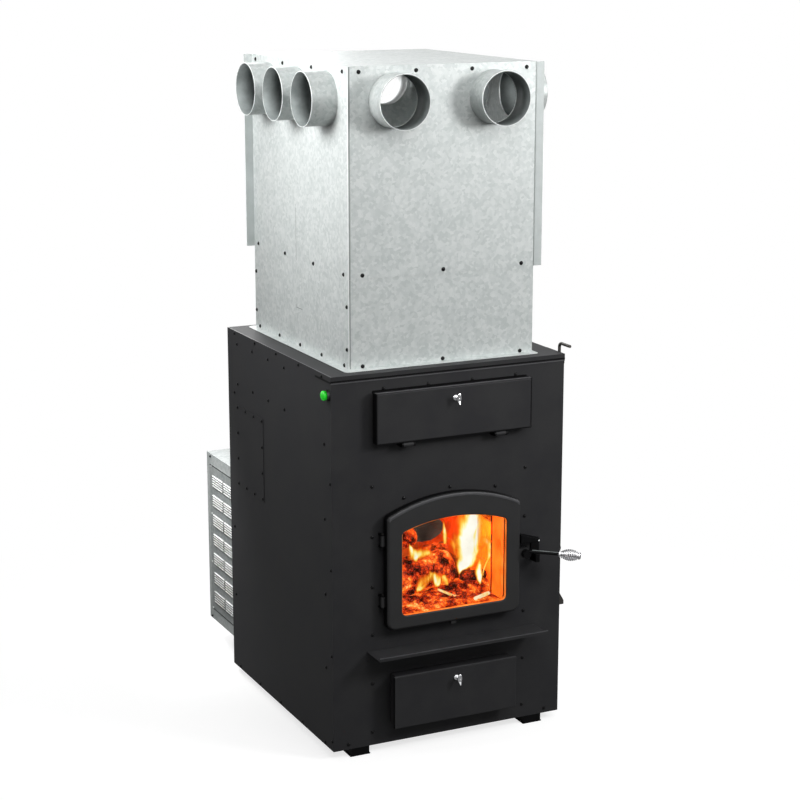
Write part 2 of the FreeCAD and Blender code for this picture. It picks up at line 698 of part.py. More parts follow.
# Knuckle hinge: barrel and web on the door, two ears on the front panel, pin pressed into the ears
def knuckle_hinge(place, upright):
    def along(radius, x):
        return rod(radius, V(x[0], 0, 0), V(x[1], 0, 0))

    half = KNUCKLE_LEN / 2
    web_z = (0, KNUCKLE_R + KNUCKLE_EDGE_GAP + WEB_T / 2)
    ear_x = (half + FACE_GAP, half + FACE_GAP + KNUCKLE_EAR)
    pieces = {"barrel": along(KNUCKLE_R, (-half, half))}
    pieces["web"] = box((-half, half), (-WEB_T / 2, WEB_T / 2), web_z)
    pieces["bore"] = along(HINGE_PIN_R + RUNNING, (-half, half))
    pieces["pin"] = along(HINGE_PIN_R, (-ear_x[1], ear_x[1]))
    for name, x in (("ear_low", mirrored_x(ear_x)), ("ear_high", ear_x)):
        ear = fuse([along(KNUCKLE_R, x), box(x, (0, -place.y), (-KNUCKLE_R, 0))])
        pieces[name] = ear.cut(along(HINGE_PIN_R, x))
    for piece in pieces.values():
        if upright:
            piece.rotate(V(0, 0, 0), V(0, 1, 0), 90)
        piece.translate(place)
    return pieces


# Wing knob on a sheet face: flange, neck, wing, spindle through the sheet and a retaining disc behind it
def wing_knob(z, face_y, bore_end_y):
    def ring(radius, y0, y1):
        return rod(radius, V(0, y0, z), V(0, y1, z))

    flange_y = (face_y - FACE_GAP - KNOB_FLANGE_T, face_y - FACE_GAP)
    neck_y = (flange_y[0] - KNOB_NECK_L, flange_y[0])
    wing_y = (neck_y[0] - KNOB_WING_D, neck_y[0])
    half_t = KNOB_WING_T / 2
    wing = box((-half_t, half_t), wing_y, (z - KNOB_WING_H / 2, z + KNOB_WING_H / 2))
    rounded = [e for e in wing.Edges if e.BoundBox.XLength > half_t]
    wing = wing.makeFillet(0.45 * KNOB_WING_D, rounded)
    disc_y = (bore_end_y + FACE_GAP, bore_end_y + FACE_GAP + KNOB_RETAINER_T)
    pieces = [ring(KNOB_FLANGE_R, *flange_y), ring(KNOB_NECK_R, neck_y[0] - KNOB_WING_D / 2, neck_y[1]), wing]
    pieces.append(ring(KNOB_SPINDLE_R, flange_y[1], disc_y[1]))
    pieces.append(ring(KNOB_FLANGE_R, *disc_y))
    return fuse(pieces)


# Clean-out door: folded pan with two hinge knuckles below it
def cleanout():
    half = CLEANOUT_HALF_W
    s = CLEANOUT_SHEET
    y = (CLEANOUT_FACE_Y, CLEANOUT_BACK_Y)
    pan = box((-half, half), y, CLEANOUT_Z)
    pan = pan.makeFillet(CLEANOUT_ROUND, edges_at_y(pan, CLEANOUT_FACE_Y))
    z_in = (CLEANOUT_Z[0] + s, CLEANOUT_Z[1] - s)
    pan = pan.cut(box((-half + s, half - s), (y[0] + s, y[1] - s), z_in))
    lip = CLEANOUT_LIP
    lip_z = (CLEANOUT_Z[0] + lip, CLEANOUT_Z[1] - lip)
    pan = pan.cut(box((-half + lip, half - lip), (y[1] - s, y[1]), lip_z))
    knob_z = CLEANOUT_Z[1] - CLEANOUT_KNOB_DROP
    boss_y = (y[0] + s, y[0] + s + KNOB_BOSS_L)
    pieces = [pan, rod(KNOB_BOSS_R, V(0, boss_y[0], knob_z), V(0, boss_y[1], knob_z))]
    hinges = [knuckle_hinge(V(side * CLEANOUT_HINGE_X, CLEANOUT_HINGE_Y, CLEANOUT_HINGE_Z), False)
              for side in (-1, 1)]
    door = fuse(pieces + [h[part] for h in hinges for part in ("barrel", "web")])
    for h in hinges:
        door = door.cut(h["bore"])
    bore = (V(0, y[0], knob_z), V(0, boss_y[1], knob_z))
    add("cleanout_door", door.cut(rod(KNOB_SPINDLE_R + RUNNING, *bore)))
    add("cleanout_hinges", *[h[part] for h in hinges for part in ("ear_low", "ear_high", "pin")])

    edge = CLEANOUT_LIP - ROPE_W
    ring_x = half - edge / 2
    ring_z = (CLEANOUT_Z[0] + edge / 2, CLEANOUT_Z[1] - edge / 2)
    rope_y = (y[1], -PLAY)
    rope = box((-ring_x, ring_x), rope_y, ring_z)
    hole_z = (ring_z[0] + ROPE_W, ring_z[1] - ROPE_W)
    rope = rope.cut(box((-ring_x + ROPE_W, ring_x - ROPE_W), rope_y, hole_z))
    add("cleanout_gasket", rope)
    add("cleanout_knob", wing_knob(knob_z, y[0], boss_y[1]))


# Feed door: cast frame, glass, gaskets and clips, on two pins
def feed_door():
    y = (DOOR_FACE_Y, DOOR_BACK_Y)
    frame = arch_block(DOOR, y, DOOR_LOW_R, DOOR_HIGH_R)
    frame = frame.makeFillet(DOOR_RIM_R, edges_at_y(frame, y[0]))
    frame = frame.cut(arch_block(WINDOW, y, WINDOW_R, WINDOW_R))
    frame = frame.makeFillet(WINDOW_EDGE_R, edges_at_y(frame, y[0], WINDOW))
    seat = grown(WINDOW, GLASS_LAP + GLASS_PLAY)
    seat_r = WINDOW_R + GLASS_LAP
    frame = frame.cut(arch_block(seat, (GLASS_SEAT_Y, y[1]), seat_r, seat_r))
    ledge_y = GLASS_SEAT_Y + GLASS_TAPE_T + GLASS_T
    ledge = grown(seat, CLIP_LEDGE)
    frame = frame.cut(arch_block(ledge, (ledge_y, y[1]), seat_r, seat_r))
    lug_y = (y[0], y[0] + HANDLE_LUG_T)
    pivot = (V(HANDLE_X, lug_y[0], HANDLE_Z), V(HANDLE_X, lug_y[1], HANDLE_Z))
    lug_x = (DOOR["half"] - DOOR_RIM_R, HANDLE_X)
    lug = box(lug_x, lug_y, (HANDLE_Z - HANDLE_LUG_R, HANDLE_Z + HANDLE_LUG_R))
    nub_z = (DOOR["bottom"] - NUB_H, DOOR["bottom"] + SHEET)
    nub = box((-NUB_W / 2, NUB_W / 2), (y[0] + DOOR_RIM_R, y[1] - SHEET), nub_z)
    hinges = [knuckle_hinge(V(DOOR_HINGE_X, DOOR_HINGE_Y, z), True) for z in DOOR_HINGE_Z]
    knuckles = [h[part] for h in hinges for part in ("barrel", "web")]
    frame = fuse([frame, lug, rod(HANDLE_LUG_R, *pivot), nub] + knuckles)
    frame = frame.cut(rod(HANDLE_PIN_R + RUNNING, *pivot))
    for h in hinges:
        frame = frame.cut(h["bore"])
    add("feed_door_frame", frame)
    add("door_hinge_brackets", *[h[part] for h in hinges for part in ("ear_low", "ear_high")])
    add("door_hinge_pins", *[h["pin"] for h in hinges])

    pane = grown(WINDOW, GLASS_LAP)
    glass_y = (GLASS_SEAT_Y + GLASS_TAPE_T, ledge_y)
    add("door_glass", arch_block(pane, glass_y, seat_r, seat_r))
    tape_y = (GLASS_SEAT_Y, glass_y[0])
    tape = arch_block(pane, tape_y, seat_r, seat_r).cut(arch_block(WINDOW, tape_y, WINDOW_R, WINDOW_R))
    rope_y = (y[1], -PLAY)
    rope = arch_block(grown(DOOR, -DOOR_ROPE_INSET), rope_y, DOOR_LOW_R, DOOR_HIGH_R)
    inner = grown(DOOR, -DOOR_ROPE_INSET - DOOR_ROPE_W)
    rope = rope.cut(arch_block(inner, rope_y, DOOR_LOW_R, DOOR_HIGH_R))
    add("door_gaskets", tape, rope)

    clips = []
    clip_y = (ledge_y, ledge_y + CLIP_T)
    outer_x = ledge["half"] - EDGE_CLEAR
    inner_x = pane["half"] - GLASS_LAP / 2
    for z in (WINDOW["bottom"] + CLIP_W, WINDOW["corner"] - CLIP_W):
        clip_z = (z - CLIP_W / 2, z + CLIP_W / 2)
        clips.append(box((inner_x, outer_x), clip_y, clip_z))
        clips.append(box((-outer_x, -inner_x), clip_y, clip_z))
    add("glass_retainers", *clips)


# Coil spring grip, barrel shaped: one tube on biarcs of quarter turns
def biarc(p0, t0, p1, t1):
    v = p1 - p0
    t = t0 + t1
    k = 2 * (1 - t0.dot(t1))
    d = (sqrt(v.dot(t) ** 2 + k * v.dot(v)) - v.dot(t)) / k
    q0 = p0 + t0 * d
    q1 = p1 - t1 * d
    joint = (q0 + q1) * 0.5
    arcs = []
    for start, corner, end in ((p0, q0, joint), (joint, q1, p1)):
        middle = (start + end) * 0.5
        half_chord = (end - start).Length / 2
        rise = (corner - middle).Length
        sagitta = half_chord * tan(atan2(rise, half_chord) / 2)
        arcs.append(Part.Arc(start, middle + (corner - middle) * (sagitta / rise), end).toShape())
    return arcs


def handle_axis():
    splay = HANDLE_SPLAY_DEG * pi / 180
    droop = HANDLE_DROOP_DEG * pi / 180
    start = V(HANDLE_X, DOOR_FACE_Y - FACE_GAP - HANDLE_HUB_L / 2, HANDLE_Z + HANDLE_ROD_RISE)
    return start, V(cos(splay) * cos(droop), -sin(splay) * cos(droop), -sin(droop))


def coil_point(turn, origin, along):
    side = along.cross(V(0, 0, 1)).normalize()
    up = side.cross(along)
    share = turn / GRIP_TURNS
    swell = GRIP_END_R + (GRIP_MID_R - GRIP_END_R) * sin(pi * share)
    swell_rate = (GRIP_MID_R - GRIP_END_R) * cos(pi * share) * pi / GRIP_TURNS
    a = 2 * pi * turn
    radial = up * cos(a) + side * sin(a)
    around = side * cos(a) - up * sin(a)
    place = origin + along * (GRIP_PITCH * turn) + radial * swell
    rate = along * GRIP_PITCH + radial * swell_rate + around * (2 * pi * swell)
    return place, rate.normalize()


def handle():
    origin, along = handle_axis()
    tail = GRIP_WIRE * coil_point(0, origin, along)[1].dot(along)
    seat = GRIP_WIRE / 2 + tail + FACE_GAP
    first = origin + along * (GRIP_START + FERRULE_L + seat)
    quarters = [i / 4 for i in range(4 * GRIP_TURNS + 1)]
    stations = [coil_point(turn, first, along) for turn in quarters]
    start, start_way = stations[0]
    end, end_way = stations[-1]
    edges = [Part.makeLine(start - start_way * GRIP_WIRE, start)]
    for (p0, t0), (p1, t1) in zip(stations, stations[1:]):
        edges.extend(biarc(p0, t0, p1, t1))
    edges.append(Part.makeLine(end, end + end_way * GRIP_WIRE))
    path = Part.Wire(edges)
    section = Part.Wire(Part.Circle(start - start_way * GRIP_WIRE, start_way, GRIP_WIRE / 2).toShape())
    coil = path.makePipeShell([section], True, False)
    add("handle_grip", coil)

    per_turn = 24
    points = []
    for edge in edges:
        steps = max(2, int(edge.Length / (GRIP_END_R * 2 * pi / per_turn)))
        points.extend(edge.discretize(steps + 1)[:-1])
    least = 1e9
    lengths = [0.0]
    for a, b in zip(points, points[1:]):
        lengths.append(lengths[-1] + (b - a).Length)
    for i in range(len(points)):
        for j in range(i + 1, len(points)):
            if lengths[j] - lengths[i] > pi * GRIP_END_R:
                least = min(least, (points[j] - points[i]).Length - GRIP_WIRE)
    print("coil grip: least gap to itself %.2f mm" % least)
    print("coil grip: volume %.0f, section times length %.0f"
          % (coil.Volume, pi * GRIP_WIRE ** 2 / 4 * path.Length))

    cap = GRIP_START + FERRULE_L + 2 * seat + GRIP_TURNS * GRIP_PITCH
    hub_y = (DOOR_FACE_Y - FACE_GAP - HANDLE_HUB_L, DOOR_FACE_Y - FACE_GAP)
    tongue_y0 = DOOR_FACE_Y + HANDLE_LUG_T + FACE_GAP
    tongue_y = (tongue_y0, tongue_y0 + TONGUE_T)
    pieces = [rod(HANDLE_HUB_R, V(HANDLE_X, hub_y[0], HANDLE_Z), V(HANDLE_X, hub_y[1], HANDLE_Z))]
    pieces.append(rod(HANDLE_PIN_R, V(HANDLE_X, hub_y[1], HANDLE_Z), V(HANDLE_X, tongue_y[1], HANDLE_Z)))
    pieces.append(rod(HANDLE_HUB_R, V(HANDLE_X, tongue_y[0], HANDLE_Z), V(HANDLE_X, tongue_y[1], HANDLE_Z)))
    tongue_z = (HANDLE_Z - TONGUE_HALF_H, HANDLE_Z + TONGUE_HALF_H)
    pieces.append(box((HANDLE_X, HANDLE_X + TONGUE_LEN), tongue_y, tongue_z))
    pieces.append(rod(HANDLE_ROD_R, origin, origin + along * cap))
    for place in (GRIP_START, cap):
        low = origin + along * place
        pieces.append(rod(FERRULE_R, low, low + along * FERRULE_L))
    add("handle_lever", fuse(pieces))

    plate_x0 = HANDLE_X + HANDLE_LUG_R + CATCH_GAP
    plate_x = (plate_x0, plate_x0 + CATCH_PLATE_W)
    wedge_z = HANDLE_Z + CATCH_LIFT
    block_z = HANDLE_Z - CATCH_BLOCK_DROP
    plate = box(plate_x, (-CATCH_PLATE_T, 0), (block_z - CATCH_BLOCK_H, wedge_z + CATCH_WEDGE_H))
    wedge_x = (DOOR["half"] + 2 * SHEET, plate_x[0] + CATCH_BLOCK_W)
    outline = [(wedge_x[0], wedge_z + CATCH_WEDGE_H), (wedge_x[1], wedge_z + CATCH_WEDGE_H / 4)]
    outline += [(wedge_x[1], wedge_z), (wedge_x[0], wedge_z)]
    wedge = prism_y(outline, (-CATCH_DEPTH, 0))
    block_x = (plate_x[0], plate_x[0] + CATCH_BLOCK_W)
    block = box(block_x, (-CATCH_DEPTH, 0), (block_z - CATCH_BLOCK_H, block_z))
    add("latch_catch", fuse([plate, wedge, block]))


# Ash drawer in its housing, and the shelf above it
def ash_drawer():
    half = ASH_HALF_W
    w = ASH_WALL
    inner = half - w
    y = (ASH_FRONT_Y, ASH_BACK_Y)
    housing = box((-half, half), y, ASH_Z)
    housing = housing.cut(box((-inner, inner), (y[0], y[1] - w), (ASH_Z[0] + w, ASH_Z[1] - w)))
    chute = box((-CHUTE_HALF_W, CHUTE_HALF_W), CHUTE_Y, (ASH_Z[1] - w, ASH_Z[1]))
    add("ash_housing", housing.cut(chute))

    pan_half = inner - ASH_PAN_SIDE_GAP
    pan_front = ASH_FRONT_Y - FACE_GAP
    pan_y = (pan_front, ASH_BACK_Y - w - ASH_PAN_BACK_GAP)
    pan_z0 = ASH_Z[0] + w + FACE_GAP
    pan = box((-pan_half, pan_half), pan_y, (pan_z0, pan_z0 + ASH_PAN_H))
    t = ASH_PAN_WALL
    scoop_x = (-pan_half + t, pan_half - t)
    scoop = box(scoop_x, (pan_y[0] + t, pan_y[1] - t), (pan_z0 + t, pan_z0 + ASH_PAN_H))
    add("ash_drawer_pan", pan.cut(scoop))

    cover_y = (pan_front - ASH_COVER_T, pan_front)
    cover_z = (ASH_Z[0] - ASH_COVER_MARGIN, ASH_Z[1] + ASH_COVER_MARGIN)
    cover = box((-ASH_COVER_HALF_W, ASH_COVER_HALF_W), cover_y, cover_z)
    cover = cover.makeFillet(ASH_COVER_ROUND, edges_at_y(cover, cover_y[0]))
    s = ASH_COVER_SHEET
    knob_z = cover_z[1] - ASH_KNOB_DROP
    pocket_r = KNOB_FLANGE_R + EDGE_CLEAR
    pocket = rod(pocket_r, V(0, cover_y[0] + s, knob_z), V(0, cover_y[1], knob_z))
    bore = rod(KNOB_SPINDLE_R + RUNNING, V(0, cover_y[0], knob_z), V(0, cover_y[1], knob_z))
    add("ash_drawer_front", cover.cut(pocket).cut(bore))
    add("ash_knob", wing_knob(knob_z, cover_y[0], cover_y[0] + s))

    tray = [box(SHELF_X, (-SHELF_D, 0), (SHELF_Z, SHELF_Z + SHELF_T))]
    tray.append(box(SHELF_X, (-SHELF_D, -SHELF_D + SHELF_T), (SHELF_Z, SHELF_Z + SHELF_LIP)))
    tray.append(box(SHELF_X, (-SHELF_T, 0), (SHELF_Z - SHELF_FLANGE, SHELF_Z + SHELF_T)))
    add("ash_shelf", fuse(tray))


# Plenum: flanged lower box, four upper panels lapped over it, top cover
def plenum():
    g = GALV
    low_x = (PLENUM_LEFT + g, PLENUM_RIGHT - g)
    low_y = (PLENUM_SETBACK + g, PLENUM_BACK - g)
    low_z = (TOP, PLENUM_SPLIT + PLENUM_LAP)
    flange_x = (PLENUM_LEFT - BASE_FLANGE_SIDE, PLENUM_RIGHT + BASE_FLANGE_RIGHT)
    flange_y = (PLENUM_SETBACK - BASE_FLANGE_FRONT, PLENUM_BACK + BASE_FLANGE_BACK)
    flange = box(flange_x, flange_y, (TOP, TOP + g))
    corners = [edge for edge in flange.Edges if edge.BoundBox.ZLength > g / 2]
    flange = flange.makeFillet(BASE_FLANGE_ROUND, corners)
    lower = fuse([box(low_x, low_y, low_z), flange])
    inside_y = (low_y[0] + g, low_y[1] - g)
    add("plenum_lower_box", lower.cut(box((low_x[0] + g, low_x[1] - g), inside_y, low_z)))

    wall_z = (PLENUM_SPLIT, PLENUM_TOP - g)
    left_wall = box((PLENUM_LEFT, PLENUM_LEFT + g), (PLENUM_SETBACK, PLENUM_BACK), wall_z)
    seam_y = (PLENUM_BACK - g - PLENUM_SEAM_STEP, PLENUM_BACK - PLENUM_SEAM_STEP)
    left_seam = box((PLENUM_LEFT - PLENUM_SEAM, PLENUM_LEFT + g), seam_y, wall_z)
    left = fuse([left_wall, left_seam])
    middle = V(PLENUM_X, PLENUM_MID_Y, 0)
    right = left.copy()
    right.rotate(middle, V(0, 0, 1), 180)
    front = box((PLENUM_LEFT + g, PLENUM_RIGHT - g), (PLENUM_SETBACK, PLENUM_SETBACK + g), wall_z)
    back = front.copy()
    back.rotate(middle, V(0, 0, 1), 180)

    def collar(place, outward):
        inside = place - outward * (g + COLLAR_WALL)
        neck_r = COLLAR_R - COLLAR_STEP
        bore_r = neck_r - COLLAR_WALL
        tube = pipe(COLLAR_R, COLLAR_R - COLLAR_WALL, place, place + outward * COLLAR_L)
        neck = pipe(neck_r, bore_r, inside, place)
        joggle = pipe(COLLAR_R, bore_r, place, place + outward * COLLAR_WALL)
        brim = pipe(COLLAR_R + COLLAR_TAB, bore_r, inside, place - outward * g)
        up = V(0, 0, 1)
        across = outward.cross(up)
        for i in range(COLLAR_TAB_COUNT):
            a = 2 * pi * (i + 0.5) / COLLAR_TAB_COUNT
            ray = up * cos(a) + across * sin(a)
            slot = Part.makeBox(COLLAR_TAB_SLOT, 2 * COLLAR_TAB, 3 * COLLAR_WALL)
            slot.translate(V(-COLLAR_TAB_SLOT / 2, 0, -COLLAR_WALL))
            side = ray.cross(outward)
            turn = FreeCAD.Rotation(side, ray, outward, "YXZ")
            slot.Placement = FreeCAD.Placement(inside + ray * COLLAR_R, turn).multiply(slot.Placement)
            brim = brim.cut(slot)
        return fuse([tube, neck, joggle, brim])

    def hole(place, outward):
        return rod(COLLAR_R - COLLAR_STEP, place - outward * g, place)

    def skirt_notch(place, outward):
        return rod(COLLAR_R + COLLAR_TAB + EDGE_CLEAR, place - outward * 3 * g, place)

    notches = []
    side_y = [PLENUM_MID_Y + i * SIDE_COLLAR_PITCH for i in (-1, 0, 1)]
    front_x = [PLENUM_X + i * FRONT_COLLAR_PITCH / 2 for i in (-1, 1)]
    for i, y in enumerate(side_y):
        place = V(PLENUM_LEFT, y, COLLAR_Z)
        left = left.cut(hole(place, V(-1, 0, 0)))
        notches.append(skirt_notch(place, V(-1, 0, 0)))
        add("collar_left_%d" % (i + 1), collar(place, V(-1, 0, 0)))
        place = V(PLENUM_RIGHT, y, COLLAR_Z)
        right = right.cut(hole(place, V(1, 0, 0)))
        notches.append(skirt_notch(place, V(1, 0, 0)))
        add("collar_right_%d" % (i + 1), collar(place, V(1, 0, 0)))
    for i, x in enumerate(front_x):
        place = V(x, PLENUM_SETBACK, COLLAR_Z)
        front = front.cut(hole(place, V(0, -1, 0)))
        notches.append(skirt_notch(place, V(0, -1, 0)))
        add("collar_front_%d" % (i + 1), collar(place, V(0, -1, 0)))
        place = V(x, PLENUM_BACK, COLLAR_Z)
        back = back.cut(hole(place, V(0, 1, 0)))
        notches.append(skirt_notch(place, V(0, 1, 0)))
        add("collars_back", collar(place, V(0, 1, 0)))
    add("plenum_left_panel", left)
    add("plenum_right_panel", right)
    add("plenum_front_panel", front)
    add("plenum_back_panel", back)

    lid = box((PLENUM_LEFT, PLENUM_RIGHT), (PLENUM_SETBACK, PLENUM_BACK), (PLENUM_TOP - g, PLENUM_TOP))
    skirt_z = (PLENUM_TOP - g - PLENUM_SKIRT, PLENUM_TOP - g)
    skirt = box(low_x, low_y, skirt_z).cut(box((low_x[0] + g, low_x[1] - g), inside_y, skirt_z))
    add("plenum_top_cover", fuse([lid, skirt]).cut(Part.makeCompound(notches)))

    heads = []
    for side in (-1, 1):
        face_x = PLENUM_X + side * PLENUM_W / 2
        out = V(side, 0, 0)
        side_span = (PLENUM_SETBACK + PLENUM_SIDE_SCREW_INSET, PLENUM_BACK - PLENUM_SIDE_SCREW_INSET)
        for y in evenly(side_span[0], side_span[1], 4):
            heads.append(head(V(face_x, y, PLENUM_TOP - TOP_SCREW_DROP), out, DUCT_SCREW_R))
            heads.append(head(V(face_x, y, PLENUM_SPLIT + JOINT_SCREW_RISE), out, DUCT_SCREW_R))
        low_face = face_x - side * g
        for y in evenly(side_span[0], side_span[1], 5):
            heads.append(head(V(low_face, y, TOP + BASE_SCREW_RISE), out, DUCT_SCREW_R))
        for y in (PLENUM_SETBACK + PLENUM_FRONT_SCREW_INSET, PLENUM_BACK - PLENUM_REAR_SCREW_INSET):
            for rise in PLENUM_CORNER_SCREW_RISE:
                heads.append(head(V(low_face, y, TOP + rise), out, DUCT_SCREW_R))
    for face_y, way in ((PLENUM_SETBACK, -1), (PLENUM_BACK, 1)):
        out = V(0, way, 0)
        for x in evenly(PLENUM_LEFT + PLENUM_TOP_SCREW_INSET, PLENUM_RIGHT - PLENUM_TOP_SCREW_INSET, 4):
            heads.append(head(V(x, face_y, PLENUM_TOP - TOP_SCREW_DROP), out, DUCT_SCREW_R))
        for x in evenly(PLENUM_LEFT + PLENUM_JOINT_SCREW_INSET, PLENUM_RIGHT - PLENUM_JOINT_SCREW_INSET, 3):
            heads.append(head(V(x, face_y, PLENUM_SPLIT + JOINT_SCREW_RISE), out, DUCT_SCREW_R))
            heads.append(head(V(x, face_y - way * g, TOP + BASE_SCREW_RISE), out, DUCT_SCREW_R))
    add("sheet_screws", *heads)


# Blower box with its louvred filter panel, filter and blower
def blower():
    s = BLOWER_SHEET
    half = BLOWER_HALF_W
    y = (CABINET_D, BLOWER_BACK)
    shell = box((-half, half), y, BLOWER_Z)
    shell = shell.cut(box((-half + s, half - s), (y[0], y[1] - s), (BLOWER_Z[0] + s, BLOWER_Z[1] - s)))
    panel_y = (y[0] + GRILLE_MARGIN_Y[0], y[1] - GRILLE_MARGIN_Y[1])
    panel_z = (BLOWER_Z[0] + GRILLE_MARGIN_Z, BLOWER_Z[1] - GRILLE_MARGIN_Z)
    window_y = (panel_y[0] + GRILLE_LAP, panel_y[1] - GRILLE_LAP)
    window_z = (panel_z[0] + GRILLE_LAP, panel_z[1] - GRILLE_LAP)
    add("blower_box", shell.cut(box((-half, -half + s), window_y, window_z)))

    panel = box((-half - s, -half), panel_y, panel_z)
    mid_y = (panel_y[0] + panel_y[1]) / 2
    mid_z = (panel_z[0] + panel_z[1]) / 2
    slots = []
    hoods = []
    for row in range(GRILLE_ROWS):
        row_z = mid_z + (row - (GRILLE_ROWS - 1) / 2) * GRILLE_ROW_PITCH
        for column in range(GRILLE_COLUMNS):
            shift = (column - (GRILLE_COLUMNS - 1) / 2) * (GRILLE_SLOT_W + GRILLE_COLUMN_GAP)
            slot_y = (mid_y + shift - GRILLE_SLOT_W / 2, mid_y + shift + GRILLE_SLOT_W / 2)
            for i in range(GRILLE_SLOTS):
                z = row_z + (i - (GRILLE_SLOTS - 1) / 2) * GRILLE_SLOT_PITCH
                slots.append(box((-half - s, -half), slot_y, (z - GRILLE_SLOT_H, z)))
                hood = [(-half - s, z + s), (-half - s - LOUVRE_PROUD, z - GRILLE_SLOT_H / 2)]
                hood += [(-half - s - LOUVRE_PROUD + s, z - GRILLE_SLOT_H / 2), (-half - s, z)]
                hoods.append(prism_y(hood, slot_y))
    panel = panel.cut(Part.makeCompound(slots))
    add("filter_grille", fuse([panel] + hoods))
    filter_x = (-half + s, -half + s + FILTER_T)
    filter_z = (BLOWER_Z[0] + s, window_z[1] + GRILLE_LAP)
    add("air_filter", box(filter_x, panel_y, filter_z))

    def across(radius, x):
        return rod(radius, V(x[0], SCROLL_AXIS_Y, SCROLL_AXIS_Z), V(x[1], SCROLL_AXIS_Y, SCROLL_AXIS_Z))

    wide = (-SCROLL_HALF_W, SCROLL_HALF_W)
    wide_in = (-SCROLL_HALF_W + s, SCROLL_HALF_W - s)
    outlet_z = (SCROLL_AXIS_Z + SCROLL_R - SCROLL_OUTLET_H, SCROLL_AXIS_Z + SCROLL_R)
    foot_y = (SCROLL_AXIS_Y - SCROLL_R / 2, SCROLL_AXIS_Y + SCROLL_R / 2)
    foot_z = (BLOWER_Z[0] + s, BLOWER_Z[0] + s + SCROLL_FOOT_T)
    casing = [across(SCROLL_R, wide), box(wide, (y[0], SCROLL_AXIS_Y), outlet_z), box(wide, foot_y, foot_z)]
    hollow = across(SCROLL_R - s, wide_in)
    outlet_in = (outlet_z[0] + s, outlet_z[1] - s)
    hollow = hollow.fuse(box(wide_in, (y[0], SCROLL_AXIS_Y), outlet_in))
    add("blower_housing", fuse(casing).cut(hollow).cut(across(SCROLL_INLET_R, wide)))

    wheel = [across(WHEEL_R, (x0, x0 + WHEEL_DISC_T)) for x0 in (-WHEEL_HALF_W, WHEEL_HALF_W - WHEEL_DISC_T)]
    wheel = [disc.cut(across(WHEEL_R - WHEEL_RING, (-WHEEL_HALF_W, WHEEL_HALF_W))) for disc in wheel]
    wheel.append(across(WHEEL_R, (-WHEEL_DISC_T / 2, WHEEL_DISC_T / 2)))
    blade_y = (SCROLL_AXIS_Y - BLADE_T / 2, SCROLL_AXIS_Y + BLADE_T / 2)
    blade_z = (SCROLL_AXIS_Z + WHEEL_R - WHEEL_RING + BLADE_T, SCROLL_AXIS_Z + WHEEL_R - BLADE_T)
    for i in range(BLADE_COUNT):
        blade = box((-WHEEL_HALF_W, WHEEL_HALF_W), blade_y, blade_z)
        blade.rotate(V(0, SCROLL_AXIS_Y, SCROLL_AXIS_Z), V(1, 0, 0), 360 * i / BLADE_COUNT)
        wheel.append(blade)
    wheel.append(across(HUB_R, (-HUB_R, HUB_R)))
    motor_x = (SCROLL_HALF_W + MOTOR_STANDOFF, SCROLL_HALF_W + MOTOR_STANDOFF + MOTOR_L)
    shaft_end = motor_x[0] + MOTOR_L / 2
    wheel.append(across(SHAFT_R, (-HUB_R, shaft_end)))
    add("blower_wheel", fuse(wheel))

    motor = [across(MOTOR_R, motor_x)]
    arm_reach = SCROLL_INLET_R + MOTOR_ARM
    for i in range(3):
        arm = box((SCROLL_HALF_W, motor_x[0]), (SCROLL_AXIS_Y - MOTOR_ARM / 2, SCROLL_AXIS_Y + MOTOR_ARM / 2),
                  (SCROLL_AXIS_Z + SCROLL_INLET_R, SCROLL_AXIS_Z + arm_reach))
        bar = box((motor_x[0], motor_x[0] + MOTOR_ARM),
                  (SCROLL_AXIS_Y - MOTOR_ARM / 2, SCROLL_AXIS_Y + MOTOR_ARM / 2),
                  (SCROLL_AXIS_Z + MOTOR_R / 2, SCROLL_AXIS_Z + arm_reach))
        for piece in (arm, bar):
            piece.rotate(V(0, SCROLL_AXIS_Y, SCROLL_AXIS_Z), V(1, 0, 0), 120 * i + 60)
            motor.append(piece)
    bore = across(SHAFT_R + RUNNING, (motor_x[0], shaft_end + FACE_GAP))
    add("blower_motor", fuse(motor).cut(bore))


# Lit push-button in its bezel on the left side
def button():
    def across(radius, start, end):
        return rod(radius, V(-HALF_W - start, BUTTON_Y, BUTTON_Z), V(-HALF_W - end, BUTTON_Y, BUTTON_Z))

    bezel_r = BUTTON_R + BUTTON_PLAY + BEZEL_WALL
    bezel = across(bezel_r, 0, BEZEL_H).cut(across(BUTTON_R + BUTTON_PLAY, BEZEL_FLOOR, BEZEL_H))
    add("button_bezel", bezel.cut(across(BUTTON_STEM_R + RUNNING, 0, BEZEL_FLOOR)))
    base = BEZEL_FLOOR + BUTTON_TRAVEL + FACE_GAP
    shoulder = BEZEL_H + FACE_GAP
    dome = Part.makeSphere(BUTTON_R, V(-HALF_W - shoulder, BUTTON_Y, BUTTON_Z))
    dome = dome.common(across(BUTTON_R, shoulder, shoulder + BUTTON_R))
    stem = across(BUTTON_STEM_R, -BUTTON_STEM_L, base)
    add("push_button", fuse([across(BUTTON_R, base, shoulder), dome, stem]))


